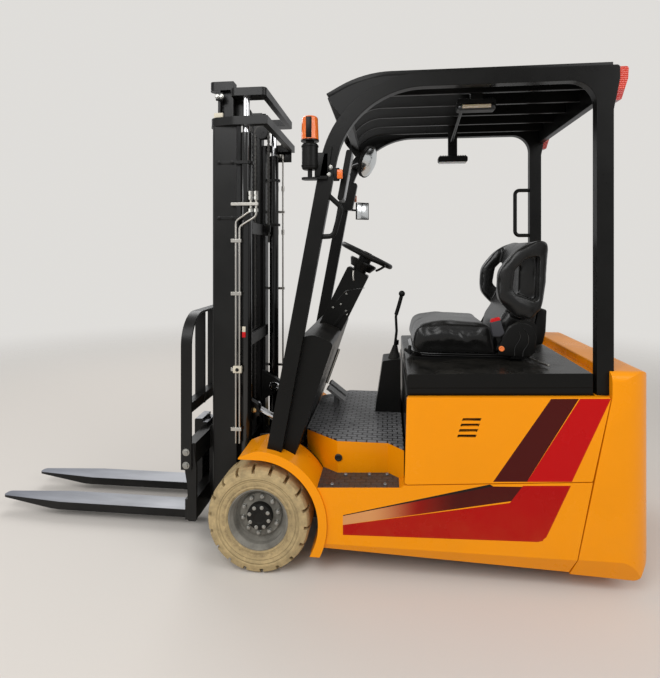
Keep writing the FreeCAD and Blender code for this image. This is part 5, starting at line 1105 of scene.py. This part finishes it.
flat_glass = plate([
    (leg_front(z) - back, z) for z, back in ((1620, 121), (1824, 121), (1824, 123.5), (1620, 123.5))
], 338, 444, 0.7)
finish_piece(flat_glass, "flat_mirror_glass", "chassis", painted_dark_mirror)
small_glass = loose_block(76, 1.6, 96, 0.7)
turn = math.radians(28)
finish_piece(
    set_out(small_glass, [(-403.5 - 5.4 * math.sin(turn), -440 + 5.4 * math.cos(turn), 1588, UP, 28)]),
    "small_mirror_glass", "chassis", mirror_glass,
)
dome_way = Vector((-0.86, 0.35, -0.35)).normalized()
bpy.ops.object.select_all(action="DESELECT")
bpy.ops.mesh.primitive_uv_sphere_add(segments=64, ring_count=48, radius=142.3 * MM)
dome = bpy.context.object
bpy.ops.object.mode_set(mode="EDIT")
bpy.ops.mesh.select_all(action="SELECT")
bpy.ops.mesh.bisect(plane_co=(0, 0, 0.1135), plane_no=(0, 0, 1), clear_inner=True)
close_edit()
apply_modifier(dome, "SOLIDIFY", thickness=0.0012, offset=-1)
dome_foot = Vector((-432.4, -300, 1916)) - dome_way * 93.47
finish_piece(
    set_out(dome, [(*dome_foot, dome_way, 0)]), "round_mirror_glass", "chassis", mirror_glass, 60,
)
bpy.ops.object.select_all(action="DESELECT")
bpy.ops.mesh.primitive_torus_add(
    major_radius=90 * MM, minor_radius=4.5 * MM, major_segments=64, minor_segments=10,
)
rim_place = Vector((-432.4, -300, 1916)) + dome_way * 14
finish_piece(
    set_out(bpy.context.object, [(*rim_place, dome_way, 0)]), "round_mirror_rim", "chassis", grained_plastic,
    60,
)

# Steering column and wheel
wheel_way = Vector((-math.sin(math.radians(26.5)), 0, math.cos(math.radians(26.5))))
hub = add_drum(38, 0, 10, sides=48)
step_top(hub, 3, 3)
step_top(hub, 12, 3)
step_top(hub, 2, 3)
hub_place = Vector((-450, 0, 1367)) - wheel_way * 2
fasten("wheel_hub_cap", "hand_wheel", hub, [(*hub_place, wheel_way, 0)], grained_plastic)
collar = add_drum(56, 0, 34, sides=48, top=74)
step_top(collar, 4, 8)
collar_place = Vector((-450, 0, 1367)) - wheel_way * 78
fasten("column_collar", "chassis", collar, [(*collar_place, wheel_way, 0)], grained_plastic)
finish_piece(
    bent_tube([(-500, 40, 1288), (-528, 78, 1300), (-546, 118, 1316)], 6), "direction_lever", "chassis",
    grained_plastic,
)
finish_piece(
    bent_tube([(-384, 58, 1290), (-380, 60, 1268), (-384, 60, 1238)], 5), "tilt_lock_lever", "chassis",
    pipe_steel,
)
finish_piece(
    bent_tube([(-440, 55.3, 1200), (-380, 55.3, 1192), (-339, 55.3, 1183), (-320, 55.3, 1160), (-295, 55.3, 1130)], 1.6, 2),
    "column_seam", "chassis", glossy_black,
)
strap = plate((
    (-352, 1082), (-322, 1068), (-277, 1006), (-241, 978), (-205, 962), (-207, 948), (-246, 964), (-286, 992),
    (-330, 1054), (-352, 1068),
), 54, 61, 1.5)
finish_piece(strap, "column_strap", "chassis", satin_black)
finish_piece(
    bent_tube([(-309, 70, 886), (-277, 70, 798), (-245, 70, 709)], 7.5), "cowl_strut", "chassis", bolt_steel,
)

# Levers: ribbed boots and a sleeve under the knob
boot_rings = []
for step in range(6):
    ring = add_drum(32 - 3.2 * step, 11 * step, 11 * step + 9, sides=36, top=28 - 3.2 * step)
    step_top(ring, 1.5, 1)
    boot_rings.append(ring)
fasten("lever_boot", "chassis", join(boot_rings), [(-592, -80, 815, (-0.1, 0, 1), 0)], black_rubber)
finish_piece(
    bent_tube([(-603, -80, 1048), (-614, -80, 1084), (-622, -80, 1112), (-631, -80, 1146)], 10.5), "lever_sleeve",
    "chassis", grained_plastic,
)

# Mast: pads, brackets, pipe nuts, clamp blocks and chain anchors
finish_piece(mirrored(block(224, 268, 309, 321, 2023, 2050, 3)), "head_pads", "mast", beige_plastic)
finish_piece(
    mirrored(block(226, 263, 300, 311, 2112, 2150, 3)), "rail_brackets", "mast_stage", mast_black,
)
fasten("rail_bracket_bolts", "mast_stage", hex_bolt(8, 8), both_sides([
    (234, 310.5, 2131, LEFT, 0), (255, 310.5, 2131, LEFT, 12),
]), bolt_steel)
finish_piece(block(19, 140, -347, -339, 1928, 1986, 2), "far_head_plate", "mast", mast_black)
fasten("far_plate_bolts", "mast", hex_bolt(9, 8), [
    (x, y, 1966, way, 0) for x in (123, 87) for y, way in ((-339, LEFT), (-347, RIGHT))
], bolt_steel)
nut = add_drum(11, 0, 17, sides=6)
step_top(nut, 2, 1.5)
fasten("pipe_nuts", "mast", nut, [
    (x, 332, z, UP, 10) for x in (84, 58) for z in (1572, 1632, 1654)
], bolt_steel)
finish_piece(block(126, 168, 323, 343, 813, 846, 3), "pipe_clamp_block", "mast", beige_plastic)
fasten("clamp_block_bolt", "mast", hex_bolt(6, 6), [(147, 343, 829, LEFT, 0)], mast_black)
finish_piece(block(111, 128, 318, 327, 1005, 1031, 2), "sensor_plug", "mast", beige_plastic)
finish_piece(block(111, 128, 318, 327, 979, 1005, 2), "sensor_seal", "mast", red_button)
anchor = add_drum(6, -60, 4, sides=16)
step_top(anchor, 1, 1)
anchor_nut = add_drum(11, -22, -12, sides=6)
step_top(anchor_nut, 2, 1)
fasten("chain_anchors", "mast", join([anchor, anchor_nut]), both_sides([(123, 187, 1500, UP, 0)]), chain_steel)
lock = add_drum(12, 0, 8, sides=24)
step_top(lock, 2, 2)
knob = add_drum(7, 9, 24, sides=20, top=9)
step_top(knob, 2, 2)
fasten("fork_locks", "fork_carriage", join([lock, knob]), both_sides([(358, 143, 527, UP, 0)]), mast_black)

# Seat: cover plates, groove, knob, buckle and levers
cover = plate((
    (-1055, 912), (-1066, 962), (-1104, 1036), (-1124, 1052), (-1151, 1064), (-1182, 1061), (-1210, 1046), (-1227, 1002),
    (-1220, 930), (-1200, 908),
), 274, 281, 3)
finish_piece(mirrored(cover), "recliner_covers", "seat_deck", grained_plastic)
for word, run in (
    ("rear", ((-1167, 1040), (-1189, 1018), (-1194, 976), (-1180, 950), (-1167, 934), (-1166, 910))),
    ("front", ((-1148, 1026), (-1160, 1008), (-1152, 982), (-1134, 956), (-1129, 934), (-1129, 911))),
):
    grooves = bent_tube([(x, 281, z) for x, z in run], 2.2, 2)
    finish_piece(mirrored(grooves), "recliner_ribs_" + word, "seat_deck", glossy_black)
ring = add_drum(17, 0, 4, sides=32)
step_top(ring, 2, 1.5)
fasten("knob_rings", "seat_deck", ring, both_sides([(-1073, 274, 944, LEFT, 0)]), grained_plastic)
dial = add_drum(12.5, 0, 10, sides=28)
step_top(dial, 2, 2)
sink_top(dial, 3, 1.5)
fasten("adjuster_dials", "seat_deck", dial, both_sides([(-1073, 277, 944, LEFT, 0)]), orange_knob)
buckle = plate(((-1023, 1062), (-1069, 1074), (-1087, 1014), (-1070, 998), (-1036, 997)), 254, 283, 4)
finish_piece(buckle, "belt_buckle", "seat_deck", buckle_grey)
finish_piece(
    plate(((-1025, 1060), (-1029, 1077), (-1066, 1087), (-1069, 1072)), 257, 280, 2.5), "belt_release",
    "seat_deck", red_button,
)
finish_piece(
    plate(((-1044, 1010), (-1066, 1010), (-1092, 946), (-1068, 940)), 262, 268, 1), "buckle_stalk", "seat_deck",
    satin_black,
)
finish_piece(
    plate(((-1260, 1122), (-1303, 1112), (-1298, 1010), (-1284, 948), (-1234, 944), (-1242, 1000)), 118, 182, 8),
    "belt_reel", "seat_deck", grained_plastic,
)
finish_piece(
    bent_tube([(-1188, 200, 901), (-1200, 255, 900), (-1222, 330, 898), (-1242, 402, 897)], 4.5),
    "seat_slide_bar", "seat_deck", pipe_steel,
)
handle = add_drum(9, 0, 38, sides=24, top=8)
step_top(handle, 3, 3)
fasten("seat_front_knobs", "seat_deck", handle, [
    (-663, 150, 886, (-0.1, 0, 1), 0), (-676, 112, 880, (0.8, 0, 0.5), 0),
], black_rubber)
for word, low, half, front in (("upper", 900, 224, -668), ("lower", 890, 216, -674)):
    skirt = plate((
        (front, -half + 90), (front, half - 90), (front - 12, half - 40), (front - 44, half - 10), (front - 90, half),
        (-1176, half), (-1176, -half), (front - 90, -half), (front - 44, -half + 10), (front - 12, -half + 40),
    ), low, low + 6, 2, flat=True)
    finish_piece(skirt, "seat_skirt_" + word, "seat_deck", glossy_black)

# Roof: the cover's folded edges over the rails, and screws along them
def cover_line(rise):
    """The roof cover's top from the visor's lip to the rear, raised by some millimetres."""
    slope = math.atan2(88, 164)
    centre = (-575.3, 2146 - 460)
    line = [(-300 + rise * math.sin(slope), 2060 + rise * math.cos(slope))]
    for step in range(9):
        turn = slope * (8 - step) / 8
        line.append((centre[0] + (460 + rise) * math.sin(turn), centre[1] + (460 + rise) * math.cos(turn)))
    return line + [(-1480, 2146 + rise)]


edge = plate(cover_line(21) + cover_line(-1)[::-1], 447, 457.5, 2)
finish_piece(mirrored(edge), "roof_edges", "chassis", satin_black)
cap = button_screw(9, 6)
fasten("roof_screws", "chassis", cap, [
    (x, side * 425, 2145.5, UP, 0) for x in range(-1400, -950, 110) for side in (1, -1)
], satin_black)


# Seat cushion and back
def plump(node, name, voxel, smoothing, cap):
    """A soft piece over its solid: rounded off, swollen like foam in a stretched cover, and smoothed."""
    piece = nodes[node].copy()
    piece.data = nodes[node].data.copy()
    bpy.context.collection.objects.link(piece)
    only(piece)
    bpy.ops.object.mode_set(mode="EDIT")
    bpy.ops.mesh.select_all(action="SELECT")
    bpy.ops.mesh.remove_doubles(threshold=0.0001)
    bpy.ops.mesh.normals_make_consistent(inside=False)
    close_edit()
    apply_modifier(piece, "REMESH", mode="VOXEL", voxel_size=voxel * MM)
    apply_modifier(piece, "SMOOTH", factor=0.5, iterations=smoothing)
    rest = [vertex.co.copy() for vertex in piece.data.vertices]
    cloth = piece.modifiers.new("cover", "CLOTH")
    cloth.settings.use_pressure = True
    cloth.settings.uniform_pressure_force = 4
    cloth.settings.effector_weights.gravity = 0
    cloth.point_cache.frame_end = 20
    for step in range(1, 21):
        bpy.context.scene.frame_set(step)
    only(piece)
    bpy.ops.object.modifier_apply(modifier="cover")
    bpy.context.scene.frame_set(1)
    for vertex, start in zip(piece.data.vertices, rest):
        move = vertex.co - start
        if move.length > cap * MM:
            vertex.co = start + move.normalized() * cap * MM
    apply_modifier(piece, "SMOOTH", factor=0.5, iterations=8)
    apply_modifier(piece, "SUBSURF", levels=1, render_levels=1)
    finish_piece(piece, name, "seat_deck", vinyl, 80)
    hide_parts(node)
    return piece


cushion = plump("seat_cushion", "seat_pad", 6, 26, 7)
shell = plump("seat_back", "seat_shell", 5, 14, 6)


# Stage, light and camera
def make_stage():
    """A pale floor that fades into the white round it."""
    bpy.ops.mesh.primitive_plane_add(size=60, location=(0, 0, -0.001))
    floor = bpy.context.object
    floor.name = "stage_floor"
    material, tree, shader = start_material("stage_floor")
    place = add_node(tree, "ShaderNodeTexCoord")
    grain = add_node(
        tree, "ShaderNodeTexNoise", {"Vector": place.outputs["Object"]}, sockets={"Scale": 90.0, "Detail": 3.0},
    )
    tint = mix_colour(tree, grain.outputs["Fac"], FLOOR, shade(FLOOR, 1.02))
    tree.links.new(tint, shader.inputs["Base Color"])
    shader.inputs["Roughness"].default_value = 0.9
    shader.inputs["Specular IOR Level"].default_value = 0.1
    reach = add_node(tree, "ShaderNodeVectorMath", {0: place.outputs["Object"]}, operation="LENGTH")
    fade = add_node(
        tree, "ShaderNodeMapRange", {"Value": reach.outputs["Value"]}, interpolation_type="SMOOTHSTEP",
        sockets={"From Min": 2.8, "From Max": 8.0, "To Min": 1.0, "To Max": 0.0},
    )
    tree.links.new(fade.outputs[0], shader.inputs["Alpha"])
    floor.data.materials.append(material)


def make_world():
    """A near-white backdrop for camera and transmission rays, a grey for glossy rays, and a soft, dimmer fill for
    everything else.
    """
    world = bpy.data.worlds.new("studio")
    world.use_nodes = True
    tree = world.node_tree
    background = tree.nodes["Background"]
    rays = add_node(tree, "ShaderNodeLightPath")
    seen = add_node(
        tree, "ShaderNodeMath", {0: rays.outputs["Is Camera Ray"], 1: rays.outputs["Is Transmission Ray"]},
        operation="MAXIMUM",
    )
    fill = mix_colour(tree, rays.outputs["Is Glossy Ray"], FILL_LIGHT, MIRRORED)
    tint = mix_colour(tree, seen.outputs[0], fill, BACKDROP)
    tree.links.new(tint, background.inputs["Color"])
    background.inputs["Strength"].default_value = 1.0
    bpy.context.scene.world = world


make_stage()
make_world()
make_camera()
area_lamp((1.2, 4.6, 4.6), (0, 0, 0.8), 3.4, 185)
area_lamp((-3.8, 2.6, 3.4), (-0.3, 0, 1.0), 2.6, 70)
area_lamp((2.6, -3.4, 4.4), (0, 0, 0.9), 3.2, 110)
area_lamp((4.4, 3.2, 1.9), (0.2, 0, 1.1), 1.0, 26)
bpy.context.scene.view_settings.view_transform = "Standard"
